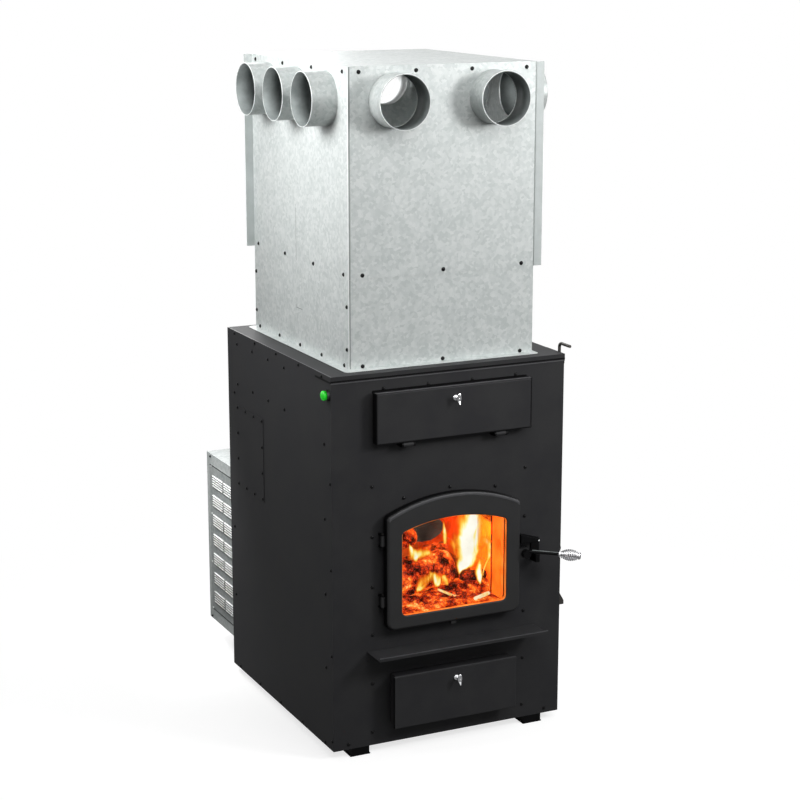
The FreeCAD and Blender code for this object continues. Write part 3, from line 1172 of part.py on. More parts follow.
# Ash rake hanging in two clips on the right side
def rake():
    x = HALF_W + RAKE_OFFSET
    low = V(x, RAKE_Y, RAKE_BLADE_Z + RAKE_BLADE_H / 2)
    bend = RAKE_BEND_R
    foot = V(x, RAKE_Y, RAKE_TOP - bend)
    turn = V(x, RAKE_Y - bend, RAKE_TOP)
    corner = V(x, RAKE_Y - bend + bend * cos(pi / 4), RAKE_TOP - bend + bend * sin(pi / 4))
    tip = V(x, RAKE_Y - RAKE_HANDLE, RAKE_TOP)
    bow = Part.Arc(foot, corner, turn).toShape()
    path = Part.Wire([Part.makeLine(low, foot), bow, Part.makeLine(turn, tip)])
    section = Part.Wire(Part.Circle(low, V(0, 0, 1), RAKE_ROD_R).toShape())
    shank = path.makePipeShell([section], True, False)
    edge_z = RAKE_BLADE_Z + RAKE_BLADE_EDGE
    top_z = RAKE_BLADE_Z + RAKE_BLADE_H
    outline = [(x - RAKE_BLADE_IN, RAKE_BLADE_Z), (x + RAKE_BLADE_OUT, RAKE_BLADE_Z)]
    outline += [(x + RAKE_BLADE_OUT, edge_z), (x + RAKE_BLADE_IN, top_z)]
    outline += [(x - RAKE_BLADE_IN, top_z)]
    blade = prism_y(outline, (RAKE_Y - RAKE_BLADE_T / 2, RAKE_Y + RAKE_BLADE_T / 2))
    rest = CLIP_Z[0] + CLIP_H / 2 + FACE_GAP
    ring = rod(RAKE_COLLAR_R, V(x, RAKE_Y, rest), V(x, RAKE_Y, rest + RAKE_COLLAR_H))
    add("rake_tool", fuse([shank, blade, ring]))

    clips = []
    slot = RAKE_ROD_R + PLAY
    for level in CLIP_Z:
        z = (level - CLIP_H / 2, level + CLIP_H / 2)
        block_y = (RAKE_Y - slot - CLIP_PRONG_T, RAKE_Y + slot + CLIP_PRONG_T)
        clip = box((HALF_W, HALF_W + CLIP_PRONG), block_y, z)
        gap_x = (x - slot, HALF_W + CLIP_PRONG)
        clips.append(clip.cut(box(gap_x, (RAKE_Y - slot, RAKE_Y + slot), z)))
    add("tool_hooks", *clips)


def main():
    for build in (cabinet, cabinet_screws, firebox, exchanger, cleanout, feed_door, handle, ash_drawer,
                  plenum, blower, button, rake):
        build()
    whole = Part.makeCompound([solid for solids in nodes.values() for solid in solids])
    size = whole.BoundBox
    shift = V(-(size.XMin + size.XMax) / 2, -(size.YMin + size.YMax) / 2, -size.ZMin)
    os.makedirs("parts", exist_ok=True)
    for name, solids in nodes.items():
        shape = Part.makeCompound(solids) if len(solids) > 1 else solids[0]
        shape.translate(shift)
        shape.exportStep("parts/%s.step" % name)
    print("%d nodes, %d solids" % (len(nodes), len(whole.Solids)))
    print("size %.2f x %.2f x %.2f" % (size.XLength, size.YLength, size.ZLength))
    print("moved by %.4f %.4f %.4f" % (shift.x, shift.y, shift.z))


main()
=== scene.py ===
import bpy
import bmesh
import math
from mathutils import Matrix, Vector, noise


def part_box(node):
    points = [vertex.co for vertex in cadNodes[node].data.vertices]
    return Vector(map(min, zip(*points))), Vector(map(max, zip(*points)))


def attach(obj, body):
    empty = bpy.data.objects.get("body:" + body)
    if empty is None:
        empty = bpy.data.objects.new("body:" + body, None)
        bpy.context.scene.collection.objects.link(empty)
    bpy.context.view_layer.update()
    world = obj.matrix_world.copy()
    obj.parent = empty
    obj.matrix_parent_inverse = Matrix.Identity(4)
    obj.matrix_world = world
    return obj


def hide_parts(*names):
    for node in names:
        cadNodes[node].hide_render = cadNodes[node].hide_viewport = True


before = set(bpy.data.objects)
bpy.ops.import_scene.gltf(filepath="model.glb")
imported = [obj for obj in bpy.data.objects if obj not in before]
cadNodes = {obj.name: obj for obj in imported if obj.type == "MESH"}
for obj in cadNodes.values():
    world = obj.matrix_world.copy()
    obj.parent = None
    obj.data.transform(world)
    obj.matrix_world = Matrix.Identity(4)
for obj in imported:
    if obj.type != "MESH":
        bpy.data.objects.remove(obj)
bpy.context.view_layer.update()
mm = 0.001

# the front face's foot is where everything below is measured from
frontLow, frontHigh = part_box("front_panel")
midX = (frontLow.x + frontHigh.x) / 2
frontY = frontLow.y
print("frame loaded:", len(cadNodes), "nodes")


def at(x, y, z):  # millimetres from the cabinet's middle, front face and floor
    return Vector((midX + x * mm, frontY + y * mm, z * mm))


def linear(hexCode):  # sRGB hex to linear colour
    parts = [int(hexCode[i:i + 2], 16) / 255 for i in (1, 3, 5)]
    return tuple(c / 12.92 if c <= 0.04045 else ((c + 0.055) / 1.055) ** 2.4 for c in parts) + (1.0,)


def addNode(tree, kind, inputs=None, **settings):
    made = tree.nodes.new(kind)
    for key, value in settings.items():
        setattr(made, key, value)
    for key, value in (inputs or {}).items():
        if isinstance(value, bpy.types.NodeSocket):
            tree.links.new(value, made.inputs[key])
        else:
            made.inputs[key].default_value = value
    return made


def ramp(made, stops):  # fills a colour ramp with (place, hex)
    band = made.color_ramp
    while len(band.elements) < len(stops):
        band.elements.new(0.5)
    for element, (place, code) in zip(band.elements, stops):
        element.position = place
        element.color = linear(code)
    return made


def newMaterial(name):
    made = bpy.data.materials.new(name)
    made.use_nodes = True
    tree = made.node_tree
    shader = tree.nodes["Principled BSDF"]
    place = addNode(tree, "ShaderNodeTexCoord").outputs["Object"]
    return made, tree, shader, place


# powder-coated sheet steel: satin black, a faint orange-peel skin that softens the highlights
powderCoat = {"colour": ("#2e2e30", "#333334"), "roughness": (0.52, 0.62), "cloud": 90.0, "peel": 4.0,
              "peelDepth": 0.06, "peelHeight": 0.2, "specular": 0.15}


def powderCoatedSteel(name, look):
    made, tree, shader, place = newMaterial(name)
    cloud = addNode(tree, "ShaderNodeTexNoise", {
        "Vector": place, "Scale": 1 / (look["cloud"] * mm), "Detail": 4.0})
    tone = addNode(tree, "ShaderNodeValToRGB", {"Fac": cloud.outputs["Fac"]})
    ramp(tone, [(0.35, look["colour"][0]), (0.65, look["colour"][1])])
    sheen = addNode(tree, "ShaderNodeMapRange", {
        "Value": cloud.outputs["Fac"], "To Min": look["roughness"][0], "To Max": look["roughness"][1]})
    peel = addNode(tree, "ShaderNodeTexNoise", {
        "Vector": place, "Scale": 1 / (look["peel"] * mm), "Detail": 2.0})
    bump = addNode(tree, "ShaderNodeBump", {
        "Height": peel.outputs["Fac"], "Strength": look["peelDepth"], "Distance": look["peelHeight"] * mm})
    tree.links.new(tone.outputs["Color"], shader.inputs["Base Color"])
    tree.links.new(sheen.outputs["Result"], shader.inputs["Roughness"])
    tree.links.new(bump.outputs["Normal"], shader.inputs["Normal"])
    shader.inputs["Specular IOR Level"].default_value = look["specular"]
    return made


# hot-dip galvanised sheet: zinc crystals of about 9 mm, each a little lighter or darker, cool grey
zincSheet = {"crystal": 9.0, "wander": 10.0, "cloud": 70.0, "colour": ("#b9bebd", "#c6cac9", "#d2d5d4"),
             "roughness": (0.36, 0.5), "relief": 0.05, "reliefHeight": 0.15, "metallic": 0.2}


def galvanisedSteel(name, look):
    made, tree, shader, place = newMaterial(name)
    wander = addNode(tree, "ShaderNodeTexNoise", {
        "Vector": place, "Scale": 1 / (look["crystal"] * mm), "Detail": 3.0})
    bent = addNode(tree, "ShaderNodeVectorMath", {
        0: wander.outputs["Color"], 1: (look["wander"] * mm,) * 3, 2: place}, operation="MULTIPLY_ADD")
    crystal = addNode(tree, "ShaderNodeTexVoronoi", {
        "Vector": bent.outputs["Vector"], "Scale": 1 / (look["crystal"] * mm)})
    grey = addNode(tree, "ShaderNodeSeparateColor", {"Color": crystal.outputs["Color"]})
    cloud = addNode(tree, "ShaderNodeTexNoise", {
        "Vector": place, "Scale": 1 / (look["cloud"] * mm), "Detail": 3.0})
    both = addNode(tree, "ShaderNodeMath", {0: grey.outputs["Red"], 1: cloud.outputs["Fac"]}, operation="ADD")
    half = addNode(tree, "ShaderNodeMath", {0: both.outputs["Value"], 1: 0.5}, operation="MULTIPLY")
    tone = addNode(tree, "ShaderNodeValToRGB", {"Fac": half.outputs["Value"]})
    ramp(tone, [(0.2, look["colour"][0]), (0.5, look["colour"][1]), (0.8, look["colour"][2])])
    tint = addNode(tree, "ShaderNodeHueSaturation", {"Saturation": 1.3, "Color": tone.outputs["Color"]})
    rough = addNode(tree, "ShaderNodeMapRange", {
        "Value": grey.outputs["Green"], "To Min": look["roughness"][0], "To Max": look["roughness"][1]})
    bump = addNode(tree, "ShaderNodeBump", {
        "Height": grey.outputs["Blue"], "Strength": look["relief"], "Distance": look["reliefHeight"] * mm})
    tree.links.new(tint.outputs["Color"], shader.inputs["Base Color"])
    tree.links.new(rough.outputs["Result"], shader.inputs["Roughness"])
    tree.links.new(bump.outputs["Normal"], shader.inputs["Normal"])
    shader.inputs["Metallic"].default_value = look["metallic"]
    return made


# one recipe for plain finishes: a base tone that drifts, a roughness that drifts with it, a fine grain
# drift and grain are in mm, and the grain is drawn coarser than life so that it shows
grainHeight = 0.3


def grainedFinish(name, colours, roughness, metallic=0.0, drift=40.0, grain=1.2, grainDepth=0.1,
                  stretch=(1, 1, 1), specular=0.5):
    made, tree, shader, place = newMaterial(name)
    pulled = addNode(tree, "ShaderNodeVectorMath", {0: place, 1: stretch}, operation="MULTIPLY")
    cloud = addNode(tree, "ShaderNodeTexNoise", {
        "Vector": pulled.outputs["Vector"], "Scale": 1 / (drift * mm), "Detail": 5.0})
    tone = addNode(tree, "ShaderNodeValToRGB", {"Fac": cloud.outputs["Fac"]})
    ramp(tone, [(0.3, colours[0]), (0.7, colours[1])])
    rough = addNode(tree, "ShaderNodeMapRange", {
        "Value": cloud.outputs["Fac"], "To Min": roughness[0], "To Max": roughness[1]})
    speck = addNode(tree, "ShaderNodeTexNoise", {
        "Vector": pulled.outputs["Vector"], "Scale": 1 / (grain * mm), "Detail": 2.0})
    bump = addNode(tree, "ShaderNodeBump", {
        "Height": speck.outputs["Fac"], "Strength": grainDepth, "Distance": grainHeight * mm})
    tree.links.new(tone.outputs["Color"], shader.inputs["Base Color"])
    tree.links.new(rough.outputs["Result"], shader.inputs["Roughness"])
    tree.links.new(bump.outputs["Normal"], shader.inputs["Normal"])
    shader.inputs["Metallic"].default_value = metallic
    shader.inputs["Specular IOR Level"].default_value = specular
    return made


blackSheet = powderCoatedSteel("blackPowderCoat", powderCoat)
galvanised = galvanisedSteel("galvanisedSheet", zincSheet)
# duct collars on the lit sides and the blower box: the same crystals, darker than the plenum's sheet as
# painted shade
shadedTubeZinc = galvanisedSteel("galvanisedTubePaintedShade", dict(zincSheet, colour=("#a3a8a7", "#afb3b2", "#bbbebd")))
# pressed panel: the zinc in a flat mid grey, darker than the sheet as painted shade
shadedPanelZinc = galvanisedSteel("galvanisedPanelPaintedShade", dict(zincSheet, colour=("#888d8c", "#949897", "#a0a3a2")))
# cast iron under stove paint: near black, faintly sandy
castIron = grainedFinish("stovePaintedIron", ("#151516", "#1a1a1b"), (0.45, 0.58), 0.0, 60, 2.0, 0.12)
# blackened iron: darker than the paint, with hardly a highlight; also the near-black painted shade in the
# strips round the doors, under the trim and on the louvres
blackIronAndShade = grainedFinish("blackenedIronAndPaintedShade", ("#050506", "#09090a"), (0.42, 0.55), 0.0, 20, 1.5, 0.1,
                          specular=0.1)
# painted highlight: grey on the black where edges and top faces catch the light
highlightGrey = grainedFinish("paintedHighlightGrey", ("#4a4a4c", "#565658"), (0.4, 0.52), 0.0, 30, 1.5, 0.05,
                            specular=0.3)
# chrome plate: bright and mirroring, a trace of polishing
chrome = grainedFinish("chromePlate", ("#dcdde0", "#eeeef0"), (0.10, 0.18), 1.0, 15, 1.0, 0.02)
# black zinc on screws: dark heads with a small highlight
darkScrew = grainedFinish("blackZincScrew", ("#050506", "#0a0a0b"), (0.3, 0.42), 0.0, 3, 0.8, 0.05,
                          specular=0.2)
# plate that has been hot: brown and straw patches, dull
hotPlate = grainedFinish("heatTintedPlate", ("#5a3f30", "#82603f"), (0.55, 0.75), 0.2, 50, 3.0, 0.3)
# mill steel: mid grey, its rolling grain drawn out upwards
bareSteel = grainedFinish("millSteel", ("#4a4846", "#5e5b58"), (0.35, 0.55), 0.8, 30, 1.5, 0.1, (1, 1, 0.15))
# brushed stainless: pale, with long fine lines across the furnace
stainless = grainedFinish("brushedStainless", ("#9a9792", "#b5b2ad"), (0.25, 0.4), 1.0, 20, 0.6, 0.1,
                          (0.05, 1, 1))
# firebrick: buff, coarse and matt
fireBrick = grainedFinish("firebrick", ("#9c7350", "#c79a6c"), (0.85, 0.95), 0.0, 25, 2.5, 0.6)
# ceramic fibre board: off-white and chalky
fibreBoard = grainedFinish("ceramicFibreBoard", ("#c9bfa9", "#ddd5c4"), (0.9, 0.98), 0.0, 20, 1.5, 0.5)
# moulded plastic: even black with a soft shine
blackPlastic = grainedFinish("mouldedBlackPlastic", ("#141414", "#1c1c1c"), (0.35, 0.5), 0.0, 8, 0.8, 0.1)
# motor enamel: dark blue-grey, glossy
motorEnamel = grainedFinish("motorEnamel", ("#2c3036", "#363b42"), (0.25, 0.4), 0.0, 30, 1.5, 0.08)
# filter fleece: white fibre without shine
filterFleece = grainedFinish("filterFleece", ("#cfd6d8", "#e6eaeb"), (0.9, 1.0), 0.0, 8, 0.8, 0.6)
# braided glass fibre: grey-white, matt and rough
glassRope = grainedFinish("braidedGlassFibre", ("#8d8b86", "#b7b4ad"), (0.85, 0.98), 0.0, 6, 1.0, 0.6)
# dull mid-grey zinc: painted shade inside the collars, and a painted highlight along the handle's rod
shadeAndHighlightZinc = grainedFinish("zincPaintedShadeAndHighlight", ("#6a706f", "#7d8382"), (0.5, 0.65), 0.2, 25, 1.2, 0.05,
                           specular=0.2)
# zinc darker than the sheet beside it: painted shade in the plenum's seams and cut lines
seamShadeZinc = grainedFinish("zincSeamPaintedShade", ("#858c8a", "#979d9b"), (0.45, 0.6), 0.2, 30, 1.5, 0.05)
# almost-white zinc: the catch's bright screw, and painted highlight on the plenum's lap edge, the collar
# beads and roots and the louvre hoods, and painted light inside the far collars
brightZincAndHighlight = grainedFinish("brightZincAndPaintedHighlight", ("#e4e8e7", "#f0f2f1"), (0.4, 0.5), 0.1, 30, 1.5, 0.05)
# zinc a shade under the sheet on the flanges: painted shade
flangeShadeZinc = grainedFinish("flangeZincPaintedShade", ("#b0b6b5", "#bcc2c1"), (0.45, 0.6), 0.2, 30, 1.5, 0.05)
# burnished zinc rivets: bright metal with a soft shine
burnished = grainedFinish("burnishedZinc", ("#dfe3e2", "#eef1f0"), (0.28, 0.36), 0.9, 30, 1.5, 0.03)
print("materials made")


def assign(made, *names):
    for name in names:
        cadNodes[name].data.materials.clear()
        cadNodes[name].data.materials.append(made)


collars = [n for n in cadNodes if n.startswith("collar")]
tubes = [n for n in collars if "left" in n or "front" in n]  # the collars on the two lit sides
plenumSheets = [n for n in cadNodes if n.startswith("plenum_")]
assign(blackSheet, "left_side_panel", "right_side_panel", "back_panel", "top_panel", "front_panel",
       "top_front_trim", "wiring_cover", "base_pan", "cleanout_door",
       "ash_housing", "ash_drawer_front", "ash_shelf")
assign(galvanised, "blower_housing", "blower_wheel", *(collars + plenumSheets))
# darker zinc copies as painted shade: the lit-side collars and the blower box here, the louvre panel below
assign(shadedTubeZinc, "blower_box", *tubes)
assign(shadedPanelZinc, "filter_grille")
assign(castIron, "feed_door_frame")
assign(blackIronAndShade, "handle_lever", "latch_catch", "door_hinge_brackets", "tool_hooks", "cleanout_hinges",
       "feet")
assign(chrome, "handle_grip", "cleanout_knob", "ash_knob")
assign(hotPlate, "firebox_shell", "heat_exchanger")
assign(bareSteel, "ash_drawer_pan", "rake_tool", "flue_collar", "door_hinge_pins")
assign(stainless, "air_tubes", "glass_retainers")
assign(fireBrick, "floor_bricks", "wall_bricks")
assign(fibreBoard, "baffle_board", "door_gaskets", "cleanout_gasket")
assign(blackPlastic, "button_bezel")
assign(motorEnamel, "blower_motor")
assign(filterFleece, "air_filter")
assign(darkScrew, "sheet_screws")


# stove glass: a clear ceramic pane with a faint smoke of soot
glassPane = {"soot": 60.0, "colour": ("#efece6", "#ffffff"), "roughness": 0.02, "ior": 1.12}


def stoveGlass(name, look):
    made, tree, shader, place = newMaterial(name)
    soot = addNode(tree, "ShaderNodeTexNoise", {
        "Vector": place, "Scale": 1 / (look["soot"] * mm), "Detail": 4.0})
    tone = addNode(tree, "ShaderNodeValToRGB", {"Fac": soot.outputs["Fac"]})
    ramp(tone, [(0.3, look["colour"][0]), (0.7, look["colour"][1])])
    tree.links.new(tone.outputs["Color"], shader.inputs["Base Color"])
    shader.inputs["Transmission Weight"].default_value = 1.0
    shader.inputs["Roughness"].default_value = look["roughness"]
    shader.inputs["IOR"].default_value = look["ior"]
    return made


# moulded lens: green, and brighter than its surroundings because a lamp shines behind it
lampLens = {"swirl": 6.0, "colour": ("#0c9414", "#22c42a"), "glow": 0.55, "roughness": 0.18}


def litLens(name, look):
    made, tree, shader, place = newMaterial(name)
    swirl = addNode(tree, "ShaderNodeTexNoise", {
        "Vector": place, "Scale": 1 / (look["swirl"] * mm), "Detail": 2.0})
    tone = addNode(tree, "ShaderNodeValToRGB", {"Fac": swirl.outputs["Fac"]})
    ramp(tone, [(0.3, look["colour"][0]), (0.7, look["colour"][1])])
    tree.links.new(tone.outputs["Color"], shader.inputs["Base Color"])
    tree.links.new(tone.outputs["Color"], shader.inputs["Emission Color"])
    shader.inputs["Emission Strength"].default_value = look["glow"]
    shader.inputs["Roughness"].default_value = look["roughness"]
    return made


assign(stoveGlass("ceramicGlass", glassPane), "door_glass")
greenLens = litLens("greenLens", lampLens)
assign(greenLens, "push_button")

# camera, from the photograph's own straight edges
cameraLook = {"place": (-2444.9, -4769.5, 2277.7), "pitch": 13.21, "yaw": 25.62, "lens": 88.06}
cameraData = bpy.data.cameras.new("camera")
camera = bpy.data.objects.new("camera", cameraData)
bpy.context.scene.collection.objects.link(camera)
camera.location = at(*cameraLook["place"])
camera.rotation_euler = (math.radians(90 - cameraLook["pitch"]), 0, math.radians(-cameraLook["yaw"]))
cameraData.lens = cameraLook["lens"]
cameraData.sensor_width = 36
cameraData.clip_end = 100
bpy.context.scene.camera = camera

# studio: pale floor, white surround, large soft lamps
studio = {"fillUp": 0.3, "fillDown": 0.06, "floorTone": 0.45, "floorBounce": 0.12, "floorLift": 0.74,
          "floorGloss": 0.2, "floorNear": 0.9, "floorFar": 1.9,
          "lamps": [("keyFront", (-200, -1900, 2900), (0, 0, 1250), 2.0, 28, 180),
                    ("keyRight", (1750, -2000, 2200), (0, 100, 1400), 0.9, 42, 180),
                    ("keyLeft", (-1500, 250, 2300), (-282, 350, 1850), 0.9, 10.5, 90),
                    ("sideLow", (-700, 1000, 1000), (-336, 940, 370), 0.3, 0.75, 60),
                    ("overhead", (100, 700, 4200), (0, 350, 1000), 2.0, 8, 180),
                    ("backWall", (100, 2700, 2300), (100, 900, 1500), 1.4, 29, 180)]}
scene = bpy.context.scene
scene.view_settings.view_transform = "Standard"
world = bpy.data.worlds.new("studio")
scene.world = world
world.use_nodes = True
tree = world.node_tree
tree.nodes.clear()
path = addNode(tree, "ShaderNodeLightPath")
seen = addNode(tree, "ShaderNodeMath", {0: path.outputs["Is Camera Ray"], 1: path.outputs["Is Glossy Ray"]},
               operation="MAXIMUM")
seen = addNode(tree, "ShaderNodeMath", {0: seen.outputs["Value"], 1: path.outputs["Is Transmission Ray"]},
               operation="MAXIMUM")
sky = addNode(tree, "ShaderNodeTexCoord")
height = addNode(tree, "ShaderNodeSeparateXYZ", {"Vector": sky.outputs["Generated"]})
fill = addNode(tree, "ShaderNodeMapRange", {
    "Value": height.outputs["Z"], "From Min": -1.0, "To Min": studio["fillDown"], "To Max": studio["fillUp"]})
level = addNode(tree, "ShaderNodeMapRange", {
    "Value": seen.outputs["Value"], "To Min": fill.outputs["Result"], "To Max": 1.0})
glow = addNode(tree, "ShaderNodeBackground", {"Color": (1, 1, 1, 1), "Strength": level.outputs["Result"]})
addNode(tree, "ShaderNodeOutputWorld", {"Surface": glow.outputs["Background"]})
for name, place, aim, size, power, spread in studio["lamps"]:
    lampData = bpy.data.lights.new(name, "AREA")
    lampData.shape = "DISK"
    lampData.size = size
    lampData.energy = power
    lampData.spread = math.radians(spread)
    lamp = bpy.data.objects.new(name, lampData)
    scene.collection.objects.link(lamp)
    lamp.visible_camera = False
    lamp.location = at(*place)
    lamp.rotation_euler = (at(*aim) - at(*place)).to_track_quat("-Z", "Y").to_euler()


def studioFloor(name):
    made, tree, shader, place = newMaterial(name)
    path = addNode(tree, "ShaderNodeLightPath")
    gloss = addNode(tree, "ShaderNodeMath", {0: path.outputs["Is Glossy Ray"], 1: studio["floorGloss"]},
                    operation="MULTIPLY")
    seen = addNode(tree, "ShaderNodeMath", {0: path.outputs["Is Camera Ray"], 1: gloss.outputs["Value"]},
                   operation="MAXIMUM")
    seen = addNode(tree, "ShaderNodeMath", {0: seen.outputs["Value"], 1: path.outputs["Is Transmission Ray"]},
                   operation="MAXIMUM")
    away = addNode(tree, "ShaderNodeVectorMath", {0: place}, operation="LENGTH")
    far = addNode(tree, "ShaderNodeMapRange", {
        "Value": away.outputs["Value"], "From Min": studio["floorNear"], "From Max": studio["floorFar"]},
        interpolation_type="SMOOTHSTEP")
    grey = addNode(tree, "ShaderNodeMapRange", {
        "Value": far.outputs["Result"], "To Min": studio["floorTone"], "To Max": 0.0})
    base = addNode(tree, "ShaderNodeMapRange", {
        "Value": seen.outputs["Value"], "To Min": studio["floorBounce"], "To Max": grey.outputs["Result"]})
    lift = addNode(tree, "ShaderNodeMapRange", {
        "Value": far.outputs["Result"], "To Min": studio["floorLift"], "To Max": 1.0})
    white = addNode(tree, "ShaderNodeMath", {0: seen.outputs["Value"], 1: lift.outputs["Result"]},
                    operation="MULTIPLY")
    tree.links.new(base.outputs["Result"], shader.inputs["Base Color"])
    tree.links.new(white.outputs["Value"], shader.inputs["Emission Strength"])
    shader.inputs["Emission Color"].default_value = (1, 1, 1, 1)
    shader.inputs["Specular IOR Level"].default_value = 0.0
    shader.inputs["Roughness"].default_value = 0.9
    return made


floorMesh = bpy.data.meshes.new("floor")
floorMesh.from_pydata([(-30, -30, 0), (30, -30, 0), (30, 30, 0), (-30, 30, 0)], [], [(0, 1, 2, 3)])
floor = bpy.data.objects.new("floor", floorMesh)
scene.collection.objects.link(floor)
floorMesh.materials.append(studioFloor("paleFloor"))
print("studio ready")


def addPiece(name, mesh, material, body, slotName, *replaced):  # one finished piece, riding on its body
    mesh.materials.append(material)
    piece = bpy.data.objects.new(name, mesh)
    scene.collection.objects.link(piece)
    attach(piece, body)
    if replaced:
        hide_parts(*replaced)
    return piece


def meshOf(name, places, faces, smooth=True):
    mesh = bpy.data.meshes.new(name)
    mesh.from_pydata(places, [], faces)
    mesh.polygons.foreach_set("use_smooth", [smooth] * len(mesh.polygons))
    mesh.update()
    return mesh


def meshFrom(name, bm, smooth=True):
    bmesh.ops.recalc_face_normals(bm, faces=bm.faces)
    mesh = bpy.data.meshes.new(name)
    bm.to_mesh(mesh)
    bm.free()
    mesh.polygons.foreach_set("use_smooth", [smooth] * len(mesh.polygons))
    return mesh


def joinRings(bm, rings, closed):  # walls from ring to ring, with caps unless the last meets the first
    sides = len(rings[0])
    for a, b in zip(rings, rings[1:] + rings[:1] if closed else rings[1:]):
        for k in range(sides):
            bm.faces.new((a[k], a[(k + 1) % sides], b[(k + 1) % sides], b[k]))
    if not closed:
        bm.faces.new(rings[0])
        bm.faces.new(rings[-1])


# rings along a line; ringAt(i, angle) gives (out, up) in metres
def sweep(bm, points, sides, ringAt, closed=False):
    count = len(points)
    rings = []
    up = Vector((0, 0, 1))
    for i, point in enumerate(points):
        ahead = points[(i + 1) % count] if closed or i < count - 1 else point
        behind = points[i - 1] if closed or i > 0 else point
        along = (ahead - behind).normalized()
        if i == 0 and abs(along.dot(up)) > 0.9:
            up = Vector((1, 0, 0))
        across = along.cross(up).normalized()
        up = across.cross(along).normalized()
        ring = []
        for k in range(sides):
            out, rise = ringAt(i, 2 * math.pi * k / sides)
            ring.append(bm.verts.new(point + across * out + up * rise))
        rings.append(ring)
    joinRings(bm, rings, closed)


# a turned body from (radius, height) in metres along its axis; closed for a ring
def lathe(bm, centre, axis, profile, sides, closed=False):
    axis = axis.normalized()
    across = axis.orthogonal().normalized()
    up = axis.cross(across)
    rings = []
    for radius, height in profile:
        ring = []
        for k in range(sides):
            angle = 2 * math.pi * k / sides
            ray = across * math.cos(angle) + up * math.sin(angle)
            ring.append(bm.verts.new(centre + axis * height + ray * radius))
        rings.append(ring)
    joinRings(bm, rings, closed)


def inMetres(profile):
    return [(radius * mm, height * mm) for radius, height in profile]


def prism(bm, ends):  # two like outlines joined into a closed body
    near, far = ([bm.verts.new(p) for p in end] for end in ends)
    count = len(near)
    for k in range(count):
        bm.faces.new((near[k], near[(k + 1) % count], far[(k + 1) % count], far[k]))
    bm.faces.new(near)
    bm.faces.new(far)


def addBox(bm, a, b):  # a box between two corners
    for vert in bmesh.ops.create_cube(bm, size=1)["verts"]:
        vert.co = Vector([(a[i] + b[i]) / 2 + vert.co[i] * (b[i] - a[i]) for i in range(3)])


def gridFaces(columns, rows, first=0):  # quads of a net of points, row by row
    faces = []
    for j in range(rows):
        for i in range(columns):
            n = first + j * (columns + 1) + i
            faces.append((n, n + 1, n + columns + 2, n + columns + 1))
    return faces


# spring grip: one wire wound as a barrel round the handle's rod
springGrip = {"pivot": (228.0, -43.3, 556.0), "splay": 23.0, "droop": 6.0, "start": 101.93, "turns": 9,
              "pitch": 5.2, "wire": 3.4, "endRadius": 8.5, "taper": 3.0, "swell": 5.8, "stepsPerTurn": 40,
              "turned": [(92.6, 32, [(9.2, 0.0), (10.4, 1.0), (10.4, 6.0), (9.2, 7.0)]),  # ferrule
                         (151.5, 32, [(10.0, -1.2), (11.0, 0.0), (11.0, 2.6), (9.6, 4.6), (6.4, 6.0)]),  # cap
                         (146.5, 24, [(7.0, 0.0), (8.4, 1.0), (8.4, 5.4)])],  # collar inside the last turns
              "highlightStrip": {"from": 16.0, "to": 92.0, "radius": 1.5, "rise": 4.4, "point": 0.9}}


def buildSpringGrip(look):
    splay = math.radians(look["splay"])
    droop = math.radians(look["droop"])
    along = Vector((math.cos(splay) * math.cos(droop), -math.sin(splay) * math.cos(droop), -math.sin(droop)))
    side = along.cross(Vector((0, 0, 1))).normalized()
    up = side.cross(along)
    first = at(*look["pivot"]) + along * look["start"] * mm
    points = []
    for i in range(look["turns"] * look["stepsPerTurn"] + 1):
        turn = i / look["stepsPerTurn"]
        swell = math.sin(math.pi * turn / look["turns"])
        radius = look["endRadius"] + look["taper"] * turn / look["turns"] + look["swell"] * swell
        angle = 2 * math.pi * turn
        radial = up * math.cos(angle) + side * math.sin(angle)
        points.append(first + along * (look["pitch"] * turn * mm) + radial * (radius * mm))
    bm = bmesh.new()
    half = look["wire"] / 2 * mm
    sweep(bm, points, 12, lambda i, a: (half * math.cos(a), half * math.sin(a)))
    for distance, sides, profile in look["turned"]:
        lathe(bm, at(*look["pivot"]) + along * distance * mm, along, inMetres(profile), sides)
    addPiece("springGrip", meshFrom("springGrip", bm), chrome, "feed_handle", "bright_chrome", "handle_grip")
    # a mid-grey line along the top of the rod: painted highlight
    bm = bmesh.new()
    line = look["highlightStrip"]
    rod = at(*look["pivot"]) + along * line["from"] * mm + up * line["rise"] * mm
    length = (line["to"] - line["from"]) * mm
    radius = line["radius"] * mm
    tip = radius * line["point"]
    lathe(bm, rod, along, [(tip, 0), (radius, 1 * mm), (radius, length - 1 * mm), (tip, length)], 24)
    return addPiece("handlePaintedHighlight", meshFrom("handlePaintedHighlight", bm), shadeAndHighlightZinc, "feed_handle",
                    "black_casting")


buildSpringGrip(springGrip)


# arched outlines, as the feed door has them
doorArch = {"half": 212.0, "bottom": 375.0, "corner": 708.0, "apex": 758.0, "lowRadius": 25.0,
            "highRadius": 14.0}
windowArch = {"half": 167.0, "bottom": 415.0, "corner": 661.0, "apex": 690.0, "lowRadius": 15.0,
              "highRadius": 15.0}


outlineFine = {"crownSteps": 40, "cornerSteps": 8, "highShare": 0.7, "sideShare": 0.9}


